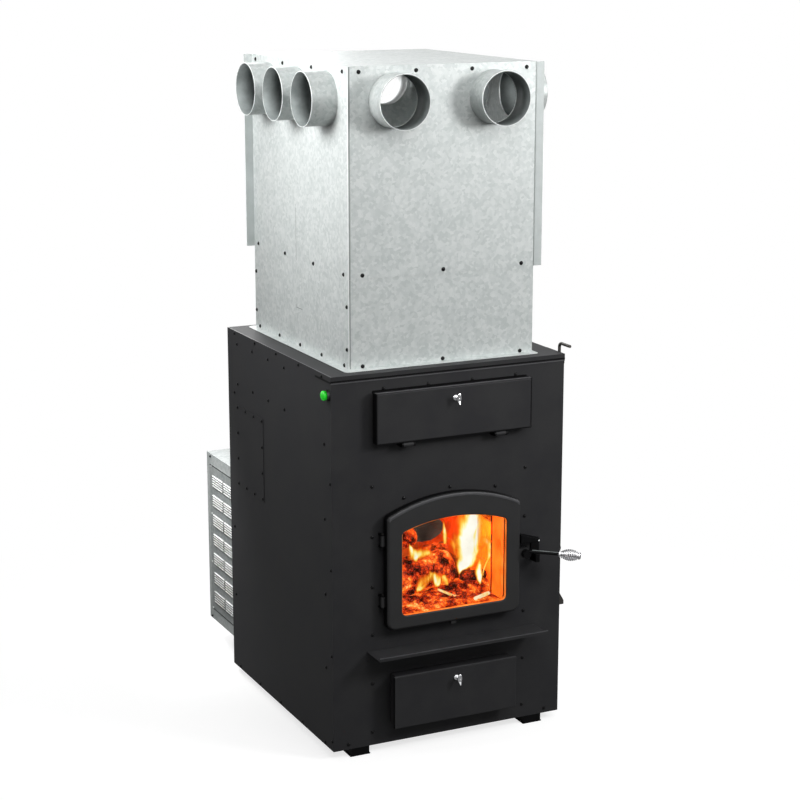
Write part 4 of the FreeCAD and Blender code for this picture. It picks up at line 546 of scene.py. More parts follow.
# points (x, z) round the outline, moved inwards and rounded at its corners
def archLine(shape, inset, step=4.0):
    rise = shape["apex"] - shape["corner"]
    radius = (shape["half"] ** 2 + rise ** 2) / (2 * rise)
    centreZ = shape["apex"] - radius
    half = shape["half"] - inset
    bottom = shape["bottom"] + inset
    crown = radius - inset
    cornerAngle = math.asin(half / crown)
    raw = [(-half, bottom), (half, bottom)]
    fine = outlineFine
    for i in range(fine["crownSteps"] + 1):
        angle = cornerAngle - 2 * cornerAngle * i / fine["crownSteps"]
        raw.append((crown * math.sin(angle), centreZ + crown * math.cos(angle)))
    raw = [Vector((x, z, 0)) for x, z in raw]
    rounded = []
    for i, point in enumerate(raw):
        before = raw[i - 1]
        after = raw[(i + 1) % len(raw)]
        cut = shape["lowRadius"] if i < 2 else shape["highRadius"] * fine["highShare"]
        if i <= 2 or i == len(raw) - 1:
            back, ahead = before - point, after - point
            a = point + back.normalized() * min(cut, back.length * fine["sideShare"])
            b = point + ahead.normalized() * min(cut, ahead.length * fine["sideShare"])
            for k in range(fine["cornerSteps"] + 1):
                t = k / fine["cornerSteps"]
                rounded.append(a * (1 - t) ** 2 + point * 2 * t * (1 - t) + b * t ** 2)
        else:
            rounded.append(point)
    line = []
    for a, b in zip(rounded, rounded[1:] + rounded[:1]):
        count = max(1, round((b - a).length / step))
        for k in range(count):
            line.append(a.lerp(b, k / count))
    return [(p.x, p.y) for p in line]


# rope seals: braided glass fibre pressed into a D by the doors
ropeSeal = {"strands": 3, "lay": 22.0, "lobe": 0.10, "press": 0.92, "step": 4.0, "y": -4.2, "width": 7.6}
doorSeal = {"inset": 13.0, "depth": 10.0, "tapeY": -22.4, "tapeHalf": 0.38, "edges": (-1.0, -11.0),
            "edgeHalf": 0.9, "middle": -6.0, "middleHalf": 5.2}


def ropeRing(depth, look):
    def ring(i, a):
        twist = 2 * math.pi * i * look["step"] / look["lay"]
        lobes = 1 + look["lobe"] * math.cos(look["strands"] * a - twist)
        out = look["width"] / 2 * mm * math.cos(a) * lobes * look["press"]
        return (out, depth / 2 * mm * math.sin(a) * lobes * look["press"])
    return ring


def tapeRing(thick, wide):
    return lambda i, a: (thick * mm * math.cos(a), wide * mm * math.sin(a))


def buildDoorSeals(look):
    bm = bmesh.new()
    line = [at(x, ropeSeal["y"], z) for x, z in archLine(doorArch, look["inset"])]
    sweep(bm, line, 16, ropeRing(look["depth"], ropeSeal), True)
    for inset in look["edges"]:
        tape = [at(x, look["tapeY"], z) for x, z in archLine(windowArch, inset)]
        sweep(bm, tape, 8, tapeRing(look["tapeHalf"], look["edgeHalf"]), True)
    centre = [at(x, look["tapeY"], z) for x, z in archLine(windowArch, look["middle"])]
    sweep(bm, centre, 12, tapeRing(look["tapeHalf"], look["middleHalf"]), True)
    return addPiece("doorSeals", meshFrom("doorSeals", bm), glassRope, "feed_door", "rope_seal",
                    "door_gaskets")


cleanoutSeal = {"halfWidth": 233.5, "low": 931.5, "high": 1057.5, "radius": 14.0, "depth": 12.0}


def buildCleanoutSeal(look):
    corners = []
    spots = ((1, 0, look["high"]), (1, 3, look["low"]), (-1, 2, look["low"]), (-1, 1, look["high"]))
    for side, quarter, z in spots:
        centreX = side * (look["halfWidth"] - look["radius"])
        centreZ = z - look["radius"] if z == look["high"] else z + look["radius"]
        arc = []
        for k in range(outlineFine["cornerSteps"] + 1):
            angle = quarter * math.pi / 2 + math.pi / 2 * k / outlineFine["cornerSteps"]
            x = centreX + look["radius"] * math.cos(angle)
            arc.append(Vector((x, 0, centreZ + look["radius"] * math.sin(angle))))
        corners.append(arc[::-1])
    route = [p for arc in corners for p in arc]
    line = []
    for a, b in zip(route, route[1:] + route[:1]):
        count = max(1, round((b - a).length / ropeSeal["step"]))
        line += [at(*(a.lerp(b, k / count) + Vector((0, ropeSeal["y"], 0)))) for k in range(count)]
    bm = bmesh.new()
    sweep(bm, line, 16, ropeRing(look["depth"], ropeSeal), True)
    return addPiece("cleanoutSeal", meshFrom("cleanoutSeal", bm), glassRope, "cleanout_door", "rope_seal",
                    "cleanout_gasket")


buildDoorSeals(doorSeal)
buildCleanoutSeal(cleanoutSeal)
print("grip and seals made")


# air filter: pleated fleece in a card frame
filterPack = {"pleats": 42, "card": 3.0, "fleece": 0.6, "clear": 1.0}


def buildFilter(look):
    low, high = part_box("air_filter")
    inset = look["card"] * mm
    bm = bmesh.new()
    for index in range(4):
        a = low.copy()
        b = high.copy()
        axis = 1 if index < 2 else 2
        if index % 2:
            a[axis] = high[axis] - inset
        else:
            b[axis] = low[axis] + inset
        if axis == 1:
            a.z += inset
            b.z -= inset
        addBox(bm, a, b)
    rows = []
    steps = look["pleats"] * 4
    for i in range(steps + 1):
        z = low.z + inset + (high.z - low.z - 2 * inset) * i / steps
        wave = math.sin(2 * math.pi * i / 4 + 0.001)
        x = (low.x + high.x) / 2 + wave * ((high.x - low.x) / 2 - look["clear"] * mm)
        rows.append([bm.verts.new((x + t * look["fleece"] * mm, y, z)) for t in (-1, 1)
                     for y in (low.y + inset, high.y - inset)])
    for a, b in zip(rows, rows[1:]):
        for i, j in ((0, 1), (1, 3), (3, 2), (2, 0)):
            bm.faces.new((a[i], a[j], b[j], b[i]))
    bm.faces.new([rows[0][i] for i in (0, 1, 3, 2)])
    bm.faces.new([rows[-1][i] for i in (0, 1, 3, 2)])
    return addPiece("pleatedFilter", meshFrom("pleatedFilter", bm, False), filterFleece, "furnace",
                    "filter_media", "air_filter")


buildFilter(filterPack)


# sheet-metal screws: hex heads on a pressed washer, set where the CAD heads are
screwHead = {"spread": 1.3, "washerHeight": 0.28, "washerWall": 0.6, "washerTop": 0.9, "hex": 0.72,
             "hexFoot": 0.9, "hexWall": 0.8, "crown": 0.55, "endDepth": 0.2}


def islandsOf(node):
    mesh = cadNodes[node].data
    parent = list(range(len(mesh.vertices)))
    spot = {}
    for vert in mesh.vertices:  # split normals may leave doubles
        key = tuple(round(c, 6) for c in vert.co)
        parent[vert.index] = spot.setdefault(key, vert.index)

    def root(i):
        while parent[i] != i:
            parent[i] = parent[parent[i]]
            i = parent[i]
        return i

    for edge in mesh.edges:
        a, b = (root(i) for i in edge.vertices)
        parent[max(a, b)] = min(a, b)
    groups = {}
    for vert in mesh.vertices:
        groups.setdefault(root(vert.index), []).append(vert.co.copy())
    return list(groups.values())


def buildScrews(name, node, material, slotName, look):
    bm = bmesh.new()
    for group in islandsOf(node):
        low = Vector([min(p[i] for p in group) for i in range(3)])
        high = Vector([max(p[i] for p in group) for i in range(3)])
        size = high - low
        axis = min(range(3), key=lambda i: size[i])
        others = [i for i in range(3) if i != axis]
        middle = (low + high) / 2
        reach = {}
        for end in (low, high):
            near = [p for p in group if abs(p[axis] - end[axis]) < look["endDepth"] * mm]
            reach[end[axis]] = max(max(abs(p[i] - middle[i]) for i in others) for p in near)
        seat = max(reach, key=reach.get)
        tip = min(reach, key=reach.get)
        radius = reach[seat] * look["spread"]
        tall = abs(tip - seat)
        base = middle.copy()
        base[axis] = seat
        out = Vector((0, 0, 0))
        out[axis] = 1 if tip > seat else -1
        washer = tall * look["washerHeight"]
        wall = washer * look["washerWall"]
        lathe(bm, base, out, [(radius, 0), (radius, wall), (radius * look["washerTop"], washer)], 20)
        hexR = radius * look["hex"]
        foot, wall = washer * look["hexFoot"], tall * look["hexWall"]
        lathe(bm, base, out, [(hexR, foot), (hexR, wall), (hexR * look["crown"], tall)], 6)
    return addPiece(name, meshFrom(name, bm, False), material, "furnace", slotName, node)


buildScrews("sheetScrews", "sheet_screws", darkScrew, "black_sheet", screwHead)
print("filter and screws made")


# turn knobs: a domed boss on the sheet and a thin wing that stands out from it
turnKnob = {"boss": 9.0, "neck": 4.6, "bossDepth": 5.5, "wing": 17.0, "stand": 30.0, "neckEnd": (22.0, 24.0),
            "spindle": 6.0, "discFront": 32.5,
            "outline": [(-6.0, -16.0, 1.2, 0.8), (-4.0, -12.5, 2.4, 1.5), (-1.0, -7.0, 4.6, 1.9),
                        (0.0, 0.0, 7.8, 2.2), (-0.6, 7.0, 6.6, 2.6), (-1.4, 13.0, 5.4, 3.1),
                        (-1.6, 17.8, 1.2, 0.9)]}


def buildKnob(name, node, body, z, look):
    low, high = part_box(node)
    bm = bmesh.new()
    outward = Vector((0, -1, 0))
    back = high.y - low.y
    base = Vector((midX, low.y + look["stand"] * mm, z * mm))
    boss = look["boss"] * mm
    depth = look["bossDepth"] * mm
    profile = [(boss * math.cos(k * math.pi / 16), depth * math.sin(k * math.pi / 16)) for k in range(7)]
    neck = look["neck"] * mm
    shoulder, tip = look["neckEnd"]
    profile += [(neck, depth), (neck, shoulder * mm), (look["neck"] * 0.5 * mm, tip * mm)]
    lathe(bm, base, outward, profile, 32)
    spindle = look["spindle"] * mm
    disc = back - look["discFront"] * mm
    end = back - look["stand"] * mm
    lathe(bm, base, -outward, [(spindle, 0), (spindle, disc), (boss, disc), (boss, end)], 24)
    middle = low.y + look["wing"] / 2 * mm
    points, sizes = [], []
    for a, b in zip(look["outline"], look["outline"][1:]):
        for k in range(6):
            y, rise, deep, thick = (p + (q - p) * k / 6 for p, q in zip(a, b))
            points.append(Vector((midX, middle + y * mm, (z + rise) * mm)))
            sizes.append((deep * mm, thick * mm))
    sweep(bm, points, 16, lambda i, a: (sizes[i][0] * math.cos(a), sizes[i][1] * math.sin(a)))
    return addPiece(name, meshFrom(name, bm), chrome, body, "bright_chrome", node)


buildKnob("cleanoutTurnKnob", "cleanout_knob", "cleanout_knob", 1034.0, turnKnob)
buildKnob("ashTurnKnob", "ash_knob", "ash_knob", 209.0, turnKnob)

# push-button: a green mushroom head on its stem, clear of the bezel when pressed
mushroom = {"place": (-366.0, 20.0, 1066.5),
            "profile": [(5.0, -11.0), (5.0, 0.0), (12.4, 0.0), (12.4, 13.2), (13.8, 13.7), (13.9, 15.0),
                        (12.8, 17.8), (10.0, 20.0), (5.5, 21.3), (0.6, 21.7)]}


def buildButton(look):
    bm = bmesh.new()
    lathe(bm, at(*look["place"]), Vector((-1, 0, 0)), inMetres(look["profile"]), 48)
    return addPiece("greenButton", meshFrom("greenButton", bm), greenLens, "push_button", "green_lens",
                    "push_button")


buildButton(mushroom)
print("knobs and button made")


# strips of painted shade and highlight: near black for the shade under the top trim, along the top's flange
# and round the doors, grey for the light on edges and top faces, dark seam lines and a bright lap line on the
# plenum, and the plenum's flanges
edges = {"shadeLines": [((-368.8, -1.9, 1104.0), (368.8, -1.2, 1108.6)),
                 ((-368.9, -1.9, 1101.4), (-368.0, 106.0, 1107.0)),
                 ((368.0, -1.9, 1104.0), (368.9, 106.0, 1108.6)),
                 ((-309.6, 48.0, 1120.0), (-307.1, 758.0, 1120.4)),
                 ((-291.0, 29.4, 1120.0), (298.0, 31.9, 1120.4)),
                 ((-243.4, -0.5, 1063.0), (243.4, 0.0, 1071.0))],
         "highlightStrip": [((-367.0, 1.0, 1119.9), (-363.6, 791.0, 1120.3)),
                    ((-368.4, -1.9, 1099.4), (368.4, -1.2, 1102.4)),
                    ((-261.0, -85.4, 316.8), (281.0, -85.0, 320.2))],
         "seam": [((-281.6, 64.6, 1372.0), (-276.6, 65.0, 1949.0)),
                  ((-280.6, 65.6, 1122.0), (-276.6, 66.0, 1371.0)),
                  ((295.4, 64.6, 1372.0), (297.6, 65.0, 1949.0)),
                  ((-282.3, 437.0, 1373.0), (-282.0, 439.4, 1526.0)),
                  ((-281.3, 399.0, 1233.0), (-281.0, 446.0, 1235.4)),
                  ((-281.3, 443.6, 1235.4), (-281.0, 446.0, 1243.0))],
         "lap": [((-282.4, 64.8, 1372.0), (-282.0, 70.0, 1949.0)),
                 ((-281.4, 66.2, 1122.0), (-281.0, 70.6, 1371.0))],
         "flange": [((298.4, 64.6, 1372.0), (322.6, 65.0, 1949.0)),
                    ((-306.8, 766.6, 1372.0), (-282.6, 767.0, 1830.0))],
         "cleanoutTop": [((-243.4, -32.0, 1067.5), (243.4, -19.0, 1067.9))],
         "cleanoutShade": [((-243.4, -19.0, 1067.5), (243.4, -8.2, 1067.9)),
                          ((-243.9, -31.4, 922.0), (-243.5, -8.2, 1067.0)),
                          ((241.2, -32.4, 922.0), (243.5, -32.0, 1067.0)),
                          ((-243.0, -32.4, 921.6), (243.0, -32.0, 924.2))],
         "ashTop": [((-196.8, -48.0, 239.0), (196.8, -40.5, 239.4))],
         "ashShade": [((-197.4, -47.8, 84.0), (-197.0, -40.5, 238.6))],
         "bevel": 0.12}


def buildStrips(name, boxes, material, body, slotName):
    bm = bmesh.new()
    for a, b in boxes:
        addBox(bm, at(*a), at(*b))
    bmesh.ops.bevel(bm, geom=bm.edges[:], offset=edges["bevel"] * mm, segments=2, affect="EDGES")
    return addPiece(name, meshFrom(name, bm, False), material, body, slotName)


# near-black strips under the top trim, along the top's flange and above the clean-out door: painted shade
buildStrips("paintedShadeLines", edges["shadeLines"], blackIronAndShade, "furnace", "black_sheet")
# grey strips on the top's left edge, the trim and the shelf lip: painted highlight
buildStrips("paintedHighlightEdges", edges["highlightStrip"], highlightGrey, "furnace", "black_sheet")
buildStrips("plenumFlanges", edges["flange"], flangeShadeZinc, "furnace", "galvanised_sheet")
# the clean-out door's top face in grey as painted highlight, its sides and foot near black as painted shade
buildStrips("cleanoutTopHighlight", edges["cleanoutTop"], highlightGrey, "cleanout_door", "black_sheet")
buildStrips("cleanoutPaintedShade", edges["cleanoutShade"], blackIronAndShade, "cleanout_door", "black_sheet")
# the ash front's top edge in grey as painted highlight, its left side near black as painted shade
buildStrips("ashTopHighlight", edges["ashTop"], highlightGrey, "ash_drawer", "black_sheet")
buildStrips("ashPaintedShade", edges["ashShade"], blackIronAndShade, "ash_drawer", "black_sheet")
# dark lines at the plenum's seams and cut marks: painted shade; a bright line at its front corner: painted
# highlight
buildStrips("plenumSeam", edges["seam"], seamShadeZinc, "furnace", "galvanised_sheet")
buildStrips("plenumLapHighlight", edges["lap"], brightZincAndHighlight, "furnace", "galvanised_sheet")


# feed door rim: a near-black skin on its outer edge as painted shade, and a grey roll along its crown as
# painted highlight
doorRim = {"skinInset": -0.2, "skinY": -18.5, "skinHalf": 10.0, "skinThick": 0.22, "rollInset": 6.0,
           "rollY": -35.6, "rollHalf": 4.6, "rollDepth": 1.5, "rollFrom": 696.0, "rollTip": 0.3,
           "rollRun": 8}


def buildDoorRim(look):
    bm = bmesh.new()
    line = [at(x, look["skinY"], z) for x, z in archLine(doorArch, look["skinInset"])]
    sweep(bm, line, 8, tapeRing(look["skinHalf"], look["skinThick"]), True)
    addPiece("doorEdgePaintedShade", meshFrom("doorEdgePaintedShade", bm), blackIronAndShade, "feed_door", "black_casting")
    outline = archLine(doorArch, look["rollInset"])
    crown = [at(x, look["rollY"], z) for x, z in outline if z > look["rollFrom"]]
    ends = len(crown) - 1

    def roll(i, a):
        swell = math.sqrt(min(1.0, (min(i, ends - i) + look["rollTip"]) / look["rollRun"]))
        return (look["rollDepth"] * mm * swell * math.cos(a), look["rollHalf"] * mm * swell * math.sin(a))

    bm = bmesh.new()
    sweep(bm, crown, 16, roll)
    return addPiece("doorCrownHighlight", meshFrom("doorCrownHighlight", bm), highlightGrey, "feed_door", "black_casting")


buildDoorRim(doorRim)

# collar trim: dull insides as painted shade in the near collars and bright insides as painted light in the
# far ones, a rolled bead round each mouth and an edge at each root, both near white as painted highlight
collarTrim = {"bore": 73.7, "skin": 0.4, "length": 76.0, "rootGap": 1.6, "mouthGap": 0.6,
              "bead": (75.2, 75.3, 0.9), "root": (73.3, -2.2, 0.8), "z": 1856.0, "sideX": (-282.0, 298.0),
              "sideY": (208.0, 417.5, 627.0), "frontX": (-146.5, 162.5), "faceY": (65.0, 770.0)}


def beadProfile(radius, height, size):
    turns = [2 * math.pi * k / 8 for k in range(8)]
    return [((radius + size * math.cos(a)) * mm, (height + size * math.sin(a)) * mm) for a in turns]


def buildCollarTrim(look):
    dull, bright = bmesh.new(), bmesh.new()
    spots = [((look["sideX"][0], y, look["z"]), (-1, 0, 0)) for y in look["sideY"]]
    spots += [((look["sideX"][1], y, look["z"]), (1, 0, 0)) for y in look["sideY"]]
    spots += [((x, look["faceY"][0], look["z"]), (0, -1, 0)) for x in look["frontX"]]
    far = [((x, look["faceY"][1], look["z"]), (0, 1, 0)) for x in look["frontX"]]
    outer = look["bore"] * mm
    inner = outer - look["skin"] * mm
    root = look["rootGap"] * mm
    mouth = look["length"] * mm - look["mouthGap"] * mm
    lining = [(inner, root), (outer, root), (outer, mouth), (inner, mouth)]
    for place, way in spots + far:
        lathe(bright if (place, way) in far else dull, at(*place), Vector(way), lining, 72, True)
        for bead in ("bead", "root"):
            lathe(bright, at(*place), Vector(way), beadProfile(*look[bead]), 72, True)
    addPiece("collarInsides", meshFrom("collarInsides", dull), shadeAndHighlightZinc, "furnace", "galvanised_sheet")
    return addPiece("collarBeads", meshFrom("collarBeads", bright), brightZincAndHighlight, "furnace", "galvanised_sheet")


buildCollarTrim(collarTrim)

# louvres: a bright skin on every hood as painted highlight, the dark gap below it and a dark outline as
# painted shade, rivets and corner screws of the panel
louvres = {"rows": 7, "rowMiddle": 367.0, "rowPitch": 66.0, "slots": 5, "slotPitch": 8.2,
           "columns": ((845.0, 935.0), (946.0, 1036.0)), "face": -336.2, "sheet": 0.6, "gap": (6.4, 3.4),
           "hood": ((0.2, 1.9), (4.3, -0.7)), "lip": ((4.3, -0.7), (5.4, -1.4)), "gapDepth": 0.4,
           "outline": {"y": (816.0, 1065.0), "z": (612.4, 119.0), "width": 2.6},
           "rivets": ((1050.0, 610.0), (1052.0, 450.0), (1056.0, 284.0), (1058.0, 123.0)),
           "rivet": [(3.4, 0.0), (3.0, 1.2), (1.2, 2.0)],
           "screws": ((1060.0, 641.0), (1070.0, 91.0)), "screwSunk": 1.2,
           "screw": [(4.2, 0.0), (4.0, 2.0), (2.4, 3.4)]}


def buildLouvres(look):
    skins, lips, dots, gaps = bmesh.new(), bmesh.new(), bmesh.new(), []
    face = look["face"]
    proud = face - look["gapDepth"]
    outward = Vector((-1, 0, 0))
    for row in range(look["rows"]):
        for slot in range(look["slots"]):
            z = look["rowMiddle"] + (row - 3) * look["rowPitch"] + (slot - 2) * look["slotPitch"]
            for y0, y1 in look["columns"]:
                gaps.append(((proud, y0, z - look["gap"][0]), (face, y1, z - look["gap"][1])))
                for bm, (a, b) in ((skins, look["hood"]), (lips, look["lip"])):
                    below = [(x, h - look["sheet"]) for x, h in (b, a)]
                    section = [(face - x, z + h) for x, h in [a, b] + below]
                    prism(bm, [[at(x, y, h) for x, h in section] for y in (y0, y1)])
    addPiece("louvreHighlights", meshFrom("louvreHighlights", skins, False), brightZincAndHighlight, "furnace", "galvanised_sheet")
    addPiece("louvreLipShade", meshFrom("louvreLipShade", lips, False), blackIronAndShade, "furnace", "galvanised_sheet")
    line = look["outline"]
    gaps += [((proud, line["y"][0], z), (face, line["y"][1], z + line["width"])) for z in line["z"]]
    buildStrips("louvreShadeGaps", gaps, blackIronAndShade, "furnace", "galvanised_sheet")
    for y, z in look["rivets"]:
        lathe(dots, at(face, y, z), outward, inMetres(look["rivet"]), 20)
    addPiece("panelRivets", meshFrom("panelRivets", dots), burnished, "furnace", "galvanised_sheet")
    dots = bmesh.new()
    for y, z in look["screws"]:
        lathe(dots, at(face + look["screwSunk"], y, z), outward, inMetres(look["screw"]), 20)
    return addPiece("panelScrews", meshFrom("panelScrews", dots), darkScrew, "furnace", "galvanised_sheet")


buildLouvres(louvres)

# latch catch: a wedge and a block on a plate, the plate cut along the wedge's slope; one bright screw
latchCatch = {"bodies": [([(264, 514), (292, 514), (292, 579), (264, 587.5)], -4.0),
                         ([(215, 603), (215, 577), (278, 577), (278, 583.5)], -34.0),
                         ([(264, 514), (278, 514), (278, 538), (264, 538)], -34.0)],
              "bevel": 1.0, "screw": (273.9, -34.0, 580.0), "profile": [(2.6, 0.0), (2.6, 0.8), (1.4, 1.9)]}


def buildCatch(look):
    bm = bmesh.new()
    for outline, depth in look["bodies"]:
        prism(bm, [[at(x, y, z) for x, z in outline] for y in (0.0, depth)])
    bmesh.ops.recalc_face_normals(bm, faces=bm.faces)
    bmesh.ops.bevel(bm, geom=bm.edges[:], offset=look["bevel"] * mm, segments=3, affect="EDGES")
    addPiece("latchCatch", meshFrom("latchCatch", bm, False), blackIronAndShade, "furnace", "black_casting",
             "latch_catch")
    bm = bmesh.new()
    lathe(bm, at(*look["screw"]), Vector((0, -1, 0)), inMetres(look["profile"]), 24)
    return addPiece("catchScrew", meshFrom("catchScrew", bm), brightZincAndHighlight, "furnace", "bright_chrome")


buildCatch(latchCatch)
print("edges, collars and louvres made")


# fire: charred split logs, a bed of embers and flames in sheets
charFlakes = {"drift": 38.0, "driftShare": 1.5, "grain": 7.0, "grainShare": 0.7, "bend": 12.0,
              "flakeShare": 0.16, "crackWidth": 0.22, "crackDepth": -0.16, "soot": ("#120d0a", "#3a2c24")}


def glowingChar(name, cell, heat, strength, bias):  # charcoal in glowing flakes with dark cracks between them
    look = charFlakes
    made, tree, shader, place = newMaterial(name)
    drift = addNode(tree, "ShaderNodeTexNoise", {
        "Vector": place, "Scale": 1 / (look["drift"] * mm), "Detail": 3.0})
    grain = addNode(tree, "ShaderNodeTexNoise", {
        "Vector": place, "Scale": 1 / (look["grain"] * mm), "Detail": 5.0, "Distortion": 1.5})
    bent = addNode(tree, "ShaderNodeVectorMath", {
        0: grain.outputs["Color"], 1: (look["bend"] * mm,) * 3, 2: place}, operation="MULTIPLY_ADD")
    cells = {"Vector": bent.outputs["Vector"], "Scale": 1 / (cell * mm)}
    flake = addNode(tree, "ShaderNodeTexVoronoi", cells)
    crack = addNode(tree, "ShaderNodeTexVoronoi", cells, feature="DISTANCE_TO_EDGE")
    each = addNode(tree, "ShaderNodeSeparateColor", {"Color": flake.outputs["Color"]})
    closed = addNode(tree, "ShaderNodeMapRange", {
        "Value": crack.outputs["Distance"], "From Max": look["crackWidth"], "To Min": look["crackDepth"],
        "To Max": 0.0})
    shares = ((drift.outputs["Fac"], "driftShare"), (each.outputs["Red"], "flakeShare"),
              (grain.outputs["Fac"], "grainShare"))
    total = closed.outputs["Result"]
    for part, share in shares:
        warm = addNode(tree, "ShaderNodeMath", {0: part, 1: look[share], 2: total}, operation="MULTIPLY_ADD")
        total = warm.outputs["Value"]
    warm = addNode(tree, "ShaderNodeMath", {0: total, 1: bias}, operation="ADD")
    tone = addNode(tree, "ShaderNodeValToRGB", {"Fac": warm.outputs["Value"]})
    ramp(tone, heat)
    soot = addNode(tree, "ShaderNodeValToRGB", {"Fac": drift.outputs["Fac"]})
    ramp(soot, [(0.35, look["soot"][0]), (0.7, look["soot"][1])])
    tree.links.new(soot.outputs["Color"], shader.inputs["Base Color"])
    tree.links.new(tone.outputs["Color"], shader.inputs["Emission Color"])
    shader.inputs["Emission Strength"].default_value = strength
    shader.inputs["Roughness"].default_value = 0.9
    shader.inputs["Specular IOR Level"].default_value = 0.1
    return made


emberHeat = [(0.25, "#100201"), (0.40, "#5c0d04"), (0.52, "#c62a08"), (0.66, "#fb5210"), (0.82, "#ff9426"),
             (0.96, "#ffe08a")]
coldHeat = [(0.55, "#000000"), (0.72, "#2a0502"), (0.88, "#a01f06"), (0.98, "#e0480e")]
# charred log: orange flakes that cool to red and black along its cracks
charredLog = glowingChar("charredLog", 12, emberHeat, 1.05, -0.60)
# embers: smaller flakes, brighter than the logs
emberBed = glowingChar("emberBed", 10, emberHeat, 1.05, -0.53)
# cold char: black, with a few dull red spots
coldChar = glowingChar("coldChar", 20, coldHeat, 1.0, -0.72)
# white-hot wood: pale yellow, hardly any dark left
hotWood = glowingChar("whiteHotWood", 12, [(0.2, "#ff9a30"), (0.5, "#ffd27a"), (0.8, "#fff3d0")], 1.0, -0.55)

fire = {"logs": [((-200, 175, 440), (88, 165, 474), 62, "charred"),
                 ((-170, 135, 372), (150, 128, 366), 44, "charred"),
                 ((-200, 260, 545), (4, 235, 556), 34, "charred"),
                 ((0, 300, 545), (120, 280, 562), 42, "firelitGrey"),
                 ((150, 235, 418), (196, 430, 380), 48, "cold"),
                 ((60, 150, 392), (150, 190, 384), 40, "charred"),
                 ((93, 25, 410), (144, 25, 422), 6, "hot"),
                 ((2.7, 80, 436), (58.5, 72, 407), 4, "hot"),
                 ((20, 215, 505), (95, 205, 512), 26, "charred"),
                 ((112, 152, 440), (196, 146, 436), 17, "dark"),
                 ((118, 160, 396), (206, 150, 390), 34, "charred")],
        "flames": [(140, 1.2, [(103, 450, 4), (105, 465, 14), (112, 480, 27), (120, 495, 37), (124, 520, 43),
                               (126, 545, 46), (130, 580, 47), (134, 615, 48), (137, 660, 50),
                               (137, 705, 44)]),
                   (146, 0.36, [(160, 470, 16), (172, 500, 36), (176, 540, 52), (174, 590, 60),
                                (170, 640, 62), (164, 700, 50)]),
                   (135, 0.66, [(190, 400, 2), (182, 428, 4), (180, 446, 5), (188, 470, 7), (198, 494, 11),
                                (199, 521, 17), (188, 545, 20), (168, 548, 17), (154, 531, 8)]),
                   (130, 0.98, [(169, 408, 4), (166, 436, 12), (163, 455, 14), (164, 475, 12),
                                (167, 496, 4)]),
                   (200, 0.95, [(86, 512, 3), (85, 530, 9), (84, 550, 11), (83, 574, 9), (80, 606, 3)]),
                   (104, 0.95, [(-80, 580, 3), (-73, 562, 12), (-66, 548, 19), (-61, 536, 19),
                                (-56, 520, 8)]),
                   (106, 0.72, [(-70, 536, 14), (-48, 545, 24), (-28, 545, 21), (2, 541, 8)]),
                   (100, 0.7, [(-60, 428, 8), (-46, 452, 26), (-32, 470, 28), (-8, 480, 12)]),
                   (100, 0.7, [(20, 434, 8), (4, 458, 26), (-10, 476, 20), (-18, 494, 5)]),
                   (100, 0.62, [(46, 434, 6), (32, 456, 20), (24, 476, 8)]),
                   (260, 0.42, [(150, 470, 20), (186, 540, 44), (182, 610, 54), (170, 690, 40)]),
                   (320, 0.4, [(-40, 560, 26), (-20, 620, 50), (10, 680, 46), (20, 715, 26)])],
        "glow": [((60, 200, 600), 4), ((150, 180, 560), 4), ((-40, 320, 600), 0.8), ((60, 50, 540), 1.2)],
        "glowColour": "#ff7a2a", "glowSize": 0.05,
        "bark": {"sides": 56, "steps": 64, "rough": 28.0, "roughShare": 0.10, "girth": 0.94, "cells": 55.0,
                 "crackWidth": 2.5, "crackDepth": 3.2, "crackShare": 0.12},
        "bricks": {"x": (205.6, 207.4), "courses": (342.0, 471.0, 598.0),
                   "ends": (78.0, 192.0, 306.0, 420.0, 534.0, 642.0), "joint": 3.0, "nearUpTo": 200.0,
                   "throat": ((173.4, 0.6, 404.0), (174.6, 66.0, 686.0)),
                   "shade": ((173.0, 66.0, 404.0), (174.6, 74.0, 686.0))},
        # bed and spill: x and y as (start, length)
        "bed": {"x": (-204.0, 408.0), "y": (80.0, 540.0), "net": (90, 110), "floor": 338.0, "lump": 26.0,
                "rim": 6, "least": 16, "crust": 12, "swell": 9, "swellScale": 0.4, "crack": 1.6},
        "spill": {"x": (-172.0, 344.0), "y": (3.0, 74.0), "rows": 24, "floor": 403.4, "lump": 18.0,
                  "seed": 40, "frontRim": 3, "sideRim": 8, "least": 5, "crust": 9, "crack": 1.6},
        "windowGlow": {"inset": 0.7, "y": -28.6, "half": 5.4, "innerY": -9.2, "innerHalf": 7.4, "thick": 0.3,
                       "innerFrom": 160.0}}


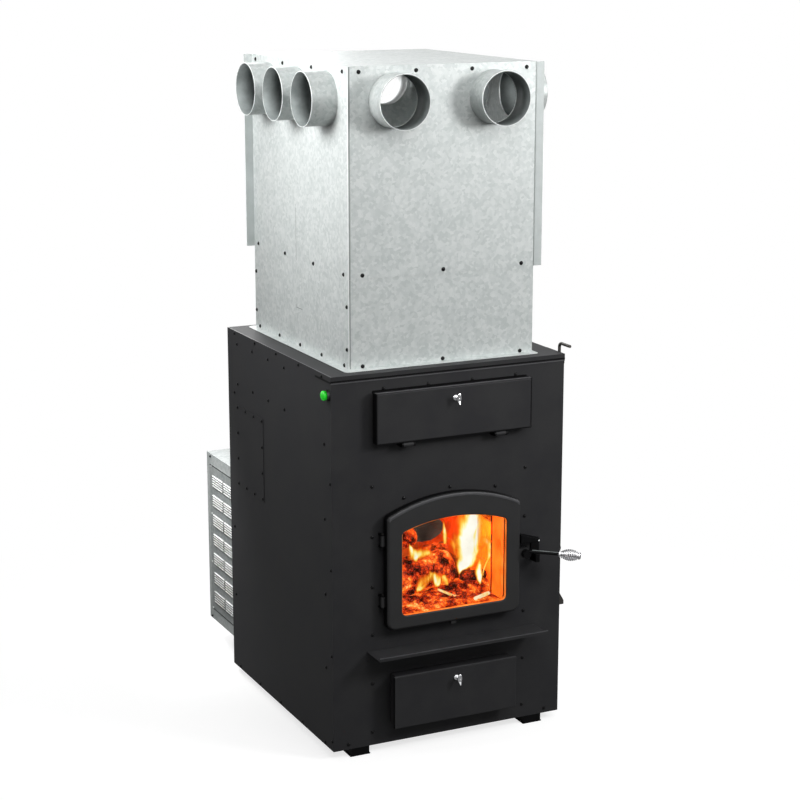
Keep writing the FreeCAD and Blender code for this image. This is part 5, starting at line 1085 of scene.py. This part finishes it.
# a split log between two points; blunt is the share of its radius left at its ends
def buildLog(name, start, end, radius, material, seed, blunt=0.62, run=9.0):
    a = at(*start)
    b = at(*end)
    along = (b - a).normalized()
    across = along.orthogonal().normalized()
    up = along.cross(across)
    bark = fire["bark"]
    sides, steps = bark["sides"], bark["steps"]
    deepest = min(bark["crackDepth"], radius * bark["crackShare"])
    places, faces = [], []
    for i in range(steps + 1):
        share = i / steps
        trim = blunt + (1 - blunt) * math.sqrt(min(1.0, min(share, 1 - share) * run))
        for k in range(sides):
            angle = 2 * math.pi * k / sides
            ray = across * math.cos(angle) + up * math.sin(angle)
            spot = a.lerp(b, share) + ray * radius * mm
            rough = noise.fractal(spot * bark["rough"] + Vector((seed, 0, 0)), 1.0, 2.0, 4)
            split = noise.voronoi(spot * bark["cells"] + Vector((0, seed, 0)))[0]
            crack = min(1.0, (split[1] - split[0]) * bark["crackWidth"])
            skin = radius * mm * trim * (bark["girth"] + bark["roughShare"] * rough)
            reach = skin - (1 - crack) * deepest * mm
            places.append(a.lerp(b, share) + ray * reach)
    for i in range(steps):
        for k in range(sides):
            n = (k + 1) % sides
            faces.append((i * sides + k, i * sides + n, (i + 1) * sides + n, (i + 1) * sides + k))
    for i in (0, steps):
        centre = len(places)
        places.append(a.lerp(b, i / steps))
        for k in range(sides):
            faces.append((i * sides + k, i * sides + (k + 1) % sides, centre))
    bm = bmesh.new()
    verts = [bm.verts.new(p) for p in places]
    for face in faces:
        bm.faces.new([verts[i] for i in face])
    return addPiece(name, meshFrom(name, bm), material, "furnace", "firebrick")


def buildEmberBed(bed, spill):
    nx, ny = bed["net"]
    places = []
    for j in range(ny + 1):
        for i in range(nx + 1):
            x = bed["x"][0] + bed["x"][1] * i / nx
            y = bed["y"][0] + bed["y"][1] * j / ny
            spot = Vector((x, y, 0)) / bed["lump"]
            lump = noise.voronoi(spot)[0]
            edge = min(1, bed["rim"] * min(i / nx, 1 - i / nx, j / ny, 1 - j / ny))
            crust = bed["crust"] * min(1.0, (lump[1] - lump[0]) * bed["crack"])
            swell = bed["swell"] * noise.noise(spot * bed["swellScale"])
            places.append(at(x, y, bed["floor"] + edge * (bed["least"] + crust + swell)))
    faces = gridFaces(nx, ny)
    first = len(places)
    rows = spill["rows"]
    for j in range(rows + 1):  # embers spilled into the throat, up to the glass
        for i in range(nx + 1):
            x = spill["x"][0] + spill["x"][1] * i / nx
            y = spill["y"][0] + spill["y"][1] * j / rows
            spot = Vector((x, y, spill["seed"])) / spill["lump"]
            lump = noise.voronoi(spot)[0]
            edge = min(1, spill["frontRim"] * (j / rows), spill["sideRim"] * min(i / nx, 1 - i / nx))
            crust = spill["crust"] * min(1.0, (lump[1] - lump[0]) * spill["crack"])
            places.append(at(x, y, spill["floor"] + edge * (spill["least"] + crust)))
    faces += gridFaces(nx, rows, first)
    return addPiece("emberBed", meshOf("emberBed", places, faces), emberBed, "furnace", "firebrick")


# flames: sheets of glowing gas, near white in their heart, orange and thin towards their edges and tips
flameSheet = {"edge": -1.2, "pull": 0.35, "lick": 26.0, "shake": 1.3, "clear": 0.06, "solid": 0.7,
              "strength": 1.05, "across": 14, "along": 8, "fadeIn": 6, "fadeOut": 4, "fade": 0.7,
              "least": 0.6, "spread": 1.5, "bow": 0.4}


def flameGas(name, look):
    made, tree, shader, place = newMaterial(name)
    sheet = addNode(tree, "ShaderNodeUVMap", uv_map="sheet")
    split = addNode(tree, "ShaderNodeSeparateXYZ", {"Vector": sheet.outputs["UV"]})
    away = addNode(tree, "ShaderNodeMath", {0: split.outputs["X"], 1: 0.5}, operation="SUBTRACT")
    away = addNode(tree, "ShaderNodeMath", {0: away.outputs["Value"]}, operation="ABSOLUTE")
    core = addNode(tree, "ShaderNodeMapRange", {
        "Value": away.outputs["Value"], "From Max": 0.5, "To Min": 0.0, "To Max": look["edge"]},
        interpolation_type="SMOOTHSTEP")
    pulled = addNode(tree, "ShaderNodeVectorMath", {0: place, 1: (1.0, 1.0, look["pull"])},
                     operation="MULTIPLY")
    lick = addNode(tree, "ShaderNodeTexNoise", {
        "Vector": pulled.outputs["Vector"], "Scale": 1 / (look["lick"] * mm), "Detail": 3.0,
        "Distortion": 0.8})
    shake = addNode(tree, "ShaderNodeMath", {0: lick.outputs["Fac"], 1: look["shake"], 2: -look["shake"] / 2},
                    operation="MULTIPLY_ADD")
    glow = addNode(tree, "ShaderNodeMath", {0: split.outputs["Y"], 1: core.outputs["Result"]},
                   operation="ADD")
    heat = addNode(tree, "ShaderNodeMath", {0: glow.outputs["Value"], 1: shake.outputs["Value"]},
                   operation="ADD")
    tone = addNode(tree, "ShaderNodeValToRGB", {"Fac": heat.outputs["Value"]})
    ramp(tone, [(0.06, "#b02404"), (0.3, "#f0560c"), (0.5, "#ff9a20"), (0.68, "#ffd24e"), (0.84, "#fff3a8"),
                (1.0, "#fffdf0")])
    thin = addNode(tree, "ShaderNodeMapRange", {
        "Value": heat.outputs["Value"], "From Min": look["clear"], "From Max": look["solid"]})
    tree.links.new(tone.outputs["Color"], shader.inputs["Emission Color"])
    tree.links.new(thin.outputs["Result"], shader.inputs["Alpha"])
    shader.inputs["Emission Strength"].default_value = look["strength"]
    shader.inputs["Base Color"].default_value = (0, 0, 0, 1)
    shader.inputs["Specular IOR Level"].default_value = 0.0
    return made


flameMaterial = flameGas("woodFlame", flameSheet)


def buildFlame(name, y, heat, spine):  # a sheet along its spine of (x, z, half width), bowed towards the door
    look = flameSheet
    wide, fine = look["across"], look["along"]
    line = []
    for n in range(len(spine) - 1):
        p0, p1, p2, p3 = (Vector(spine[min(max(n + k, 0), len(spine) - 1)]) for k in (-1, 0, 1, 2))
        for k in range(fine):
            t = k / fine
            line.append(0.5 * (2 * p1 + (p2 - p0) * t + (2 * p0 - 5 * p1 + 4 * p2 - p3) * t * t
                               + (3 * p1 - p0 - 3 * p2 + p3) * t ** 3))
    line.append(Vector(spine[-1]))
    places, spots = [], []
    for j, point in enumerate(line):
        share = j / (len(line) - 1)
        ahead = line[min(j + 1, len(line) - 1)] - line[max(j - 1, 0)]
        across = Vector((ahead.y, -ahead.x)).normalized()
        fade = min(1.0, share * look["fadeIn"], (1 - share) * look["fadeOut"])
        for i in range(wide + 1):
            u = i / wide
            off = (2 * u - 1) * max(point.z, look["least"]) * look["spread"]
            bow = math.cos(math.pi * (u - 0.5)) * point.z * look["bow"]
            places.append(at(point.x + across.x * off, y - bow, point.y + across.y * off))
            spots.append((u, heat - look["fade"] * (1 - fade)))
    mesh = meshOf(name, places, gridFaces(wide, len(line) - 1))
    layer = mesh.uv_layers.new(name="sheet")
    for loop in mesh.loops:
        layer.data[loop.index].uv = spots[loop.vertex_index]
    return addPiece(name, mesh, flameMaterial, "furnace", "firebrick")


# painted firelight: brick, iron and wood given a glow in place of the fire's light on them
def fireLight(name, colours, strength, lit=True):  # brick, iron or smoke that shines with the fire's light
    made, tree, shader, place = newMaterial(name)
    cloud = addNode(tree, "ShaderNodeTexNoise", {"Vector": place, "Scale": 1 / (60 * mm), "Detail": 4.0})
    tone = addNode(tree, "ShaderNodeValToRGB", {"Fac": cloud.outputs["Fac"]})
    ramp(tone, [(0.3, colours[0]), (0.7, colours[1])])
    shader.inputs["Base Color"].default_value = (0, 0, 0, 1)
    shader.inputs["Specular IOR Level"].default_value = 0.1
    if lit:
        tree.links.new(tone.outputs["Color"], shader.inputs["Base Color"])
    tree.links.new(tone.outputs["Color"], shader.inputs["Emission Color"])
    shader.inputs["Emission Strength"].default_value = strength
    shader.inputs["Roughness"].default_value = 0.9
    return made


def buildGlowingBricks(look):
    near, far = [], []
    gap = look["joint"] / 2
    for z0, z1 in zip(look["courses"], look["courses"][1:]):
        for y0, y1 in zip(look["ends"], look["ends"][1:]):
            course = near if y0 < look["nearUpTo"] else far
            course.append(((look["x"][0], y0 + gap, z0 + gap), (look["x"][1], y1 - gap, z1 - gap)))
    # painted firelight: the shaded corner behind the throat in dull red as painted shade, far brick in deep
    # orange, near brick and the throat's side in bright orange
    soot = fireLight("fireLitShade", ("#3a1005", "#5a1c08"), 0.6)
    dim = fireLight("dimFireLitBrick", ("#7a2408", "#d04a0c"), 0.7)
    bright = fireLight("fireLitBrick", ("#e2560e", "#ff8426"), 0.8)
    buildStrips("throatShade", [look["shade"]], soot, "furnace", "firebrick")
    buildStrips("dimBricks", far, dim, "furnace", "firebrick")
    return buildStrips("glowingBricks", near + [look["throat"]], bright, "furnace", "firebrick")


def buildWindowGlow(look):
    bm = bmesh.new()
    outline = archLine(windowArch, look["inset"])
    line = [at(x, look["y"], z) for x, z in outline]
    sweep(bm, line, 8, tapeRing(look["half"], look["thick"]), True)
    line = [at(x, look["innerY"], z) for x, z in outline if x > look["innerFrom"]]
    sweep(bm, line, 8, tapeRing(look["innerHalf"], look["thick"]))
    # painted reflection of the fire: an orange glow on the cast iron along the window's edge
    lit = fireLight("fireLitIron", ("#d8560f", "#ff9440"), 0.6)
    return addPiece("windowGlow", meshFrom("windowGlow", bm), lit, "feed_door", "black_casting")


buildGlowingBricks(fire["bricks"])
buildWindowGlow(fire["windowGlow"])
# dark char: small flakes, red only in places
darkChar = glowingChar("darkChar", 9, emberHeat, 1.0, -0.8)
# painted firelight: a log that glows grey-brown in place of the fire's light on it, as if seen through smoke
paintedFirelitWood = fireLight("paintedFirelitWood", ("#1e1613", "#54463c"), 0.9, False)
logLooks = {"charred": charredLog, "cold": coldChar, "hot": hotWood, "dark": darkChar, "firelitGrey": paintedFirelitWood}
logEnds = {"firelitGrey": (0.12, 2.4)}  # burnt to a point, the others are sawn off
for number, (start, end, radius, look) in enumerate(fire["logs"]):
    name = "splitLog%d" % (number + 1)
    buildLog(name, start, end, radius, logLooks[look], 3.7 * number, *logEnds.get(look, ()))
buildEmberBed(fire["bed"], fire["spill"])
for number, flame in enumerate(fire["flames"]):
    buildFlame("flame%d" % (number + 1), *flame)
for number, (place, power) in enumerate(fire["glow"]):
    lampData = bpy.data.lights.new("fireGlow%d" % (number + 1), "POINT")
    lampData.energy = power
    lampData.color = linear(fire["glowColour"])[:3]
    lampData.shadow_soft_size = fire["glowSize"]
    lamp = bpy.data.objects.new(lampData.name, lampData)
    scene.collection.objects.link(lamp)
    lamp.location = at(*place)
    lamp.visible_camera = lamp.visible_glossy = lamp.visible_transmission = False
print("fire laid")
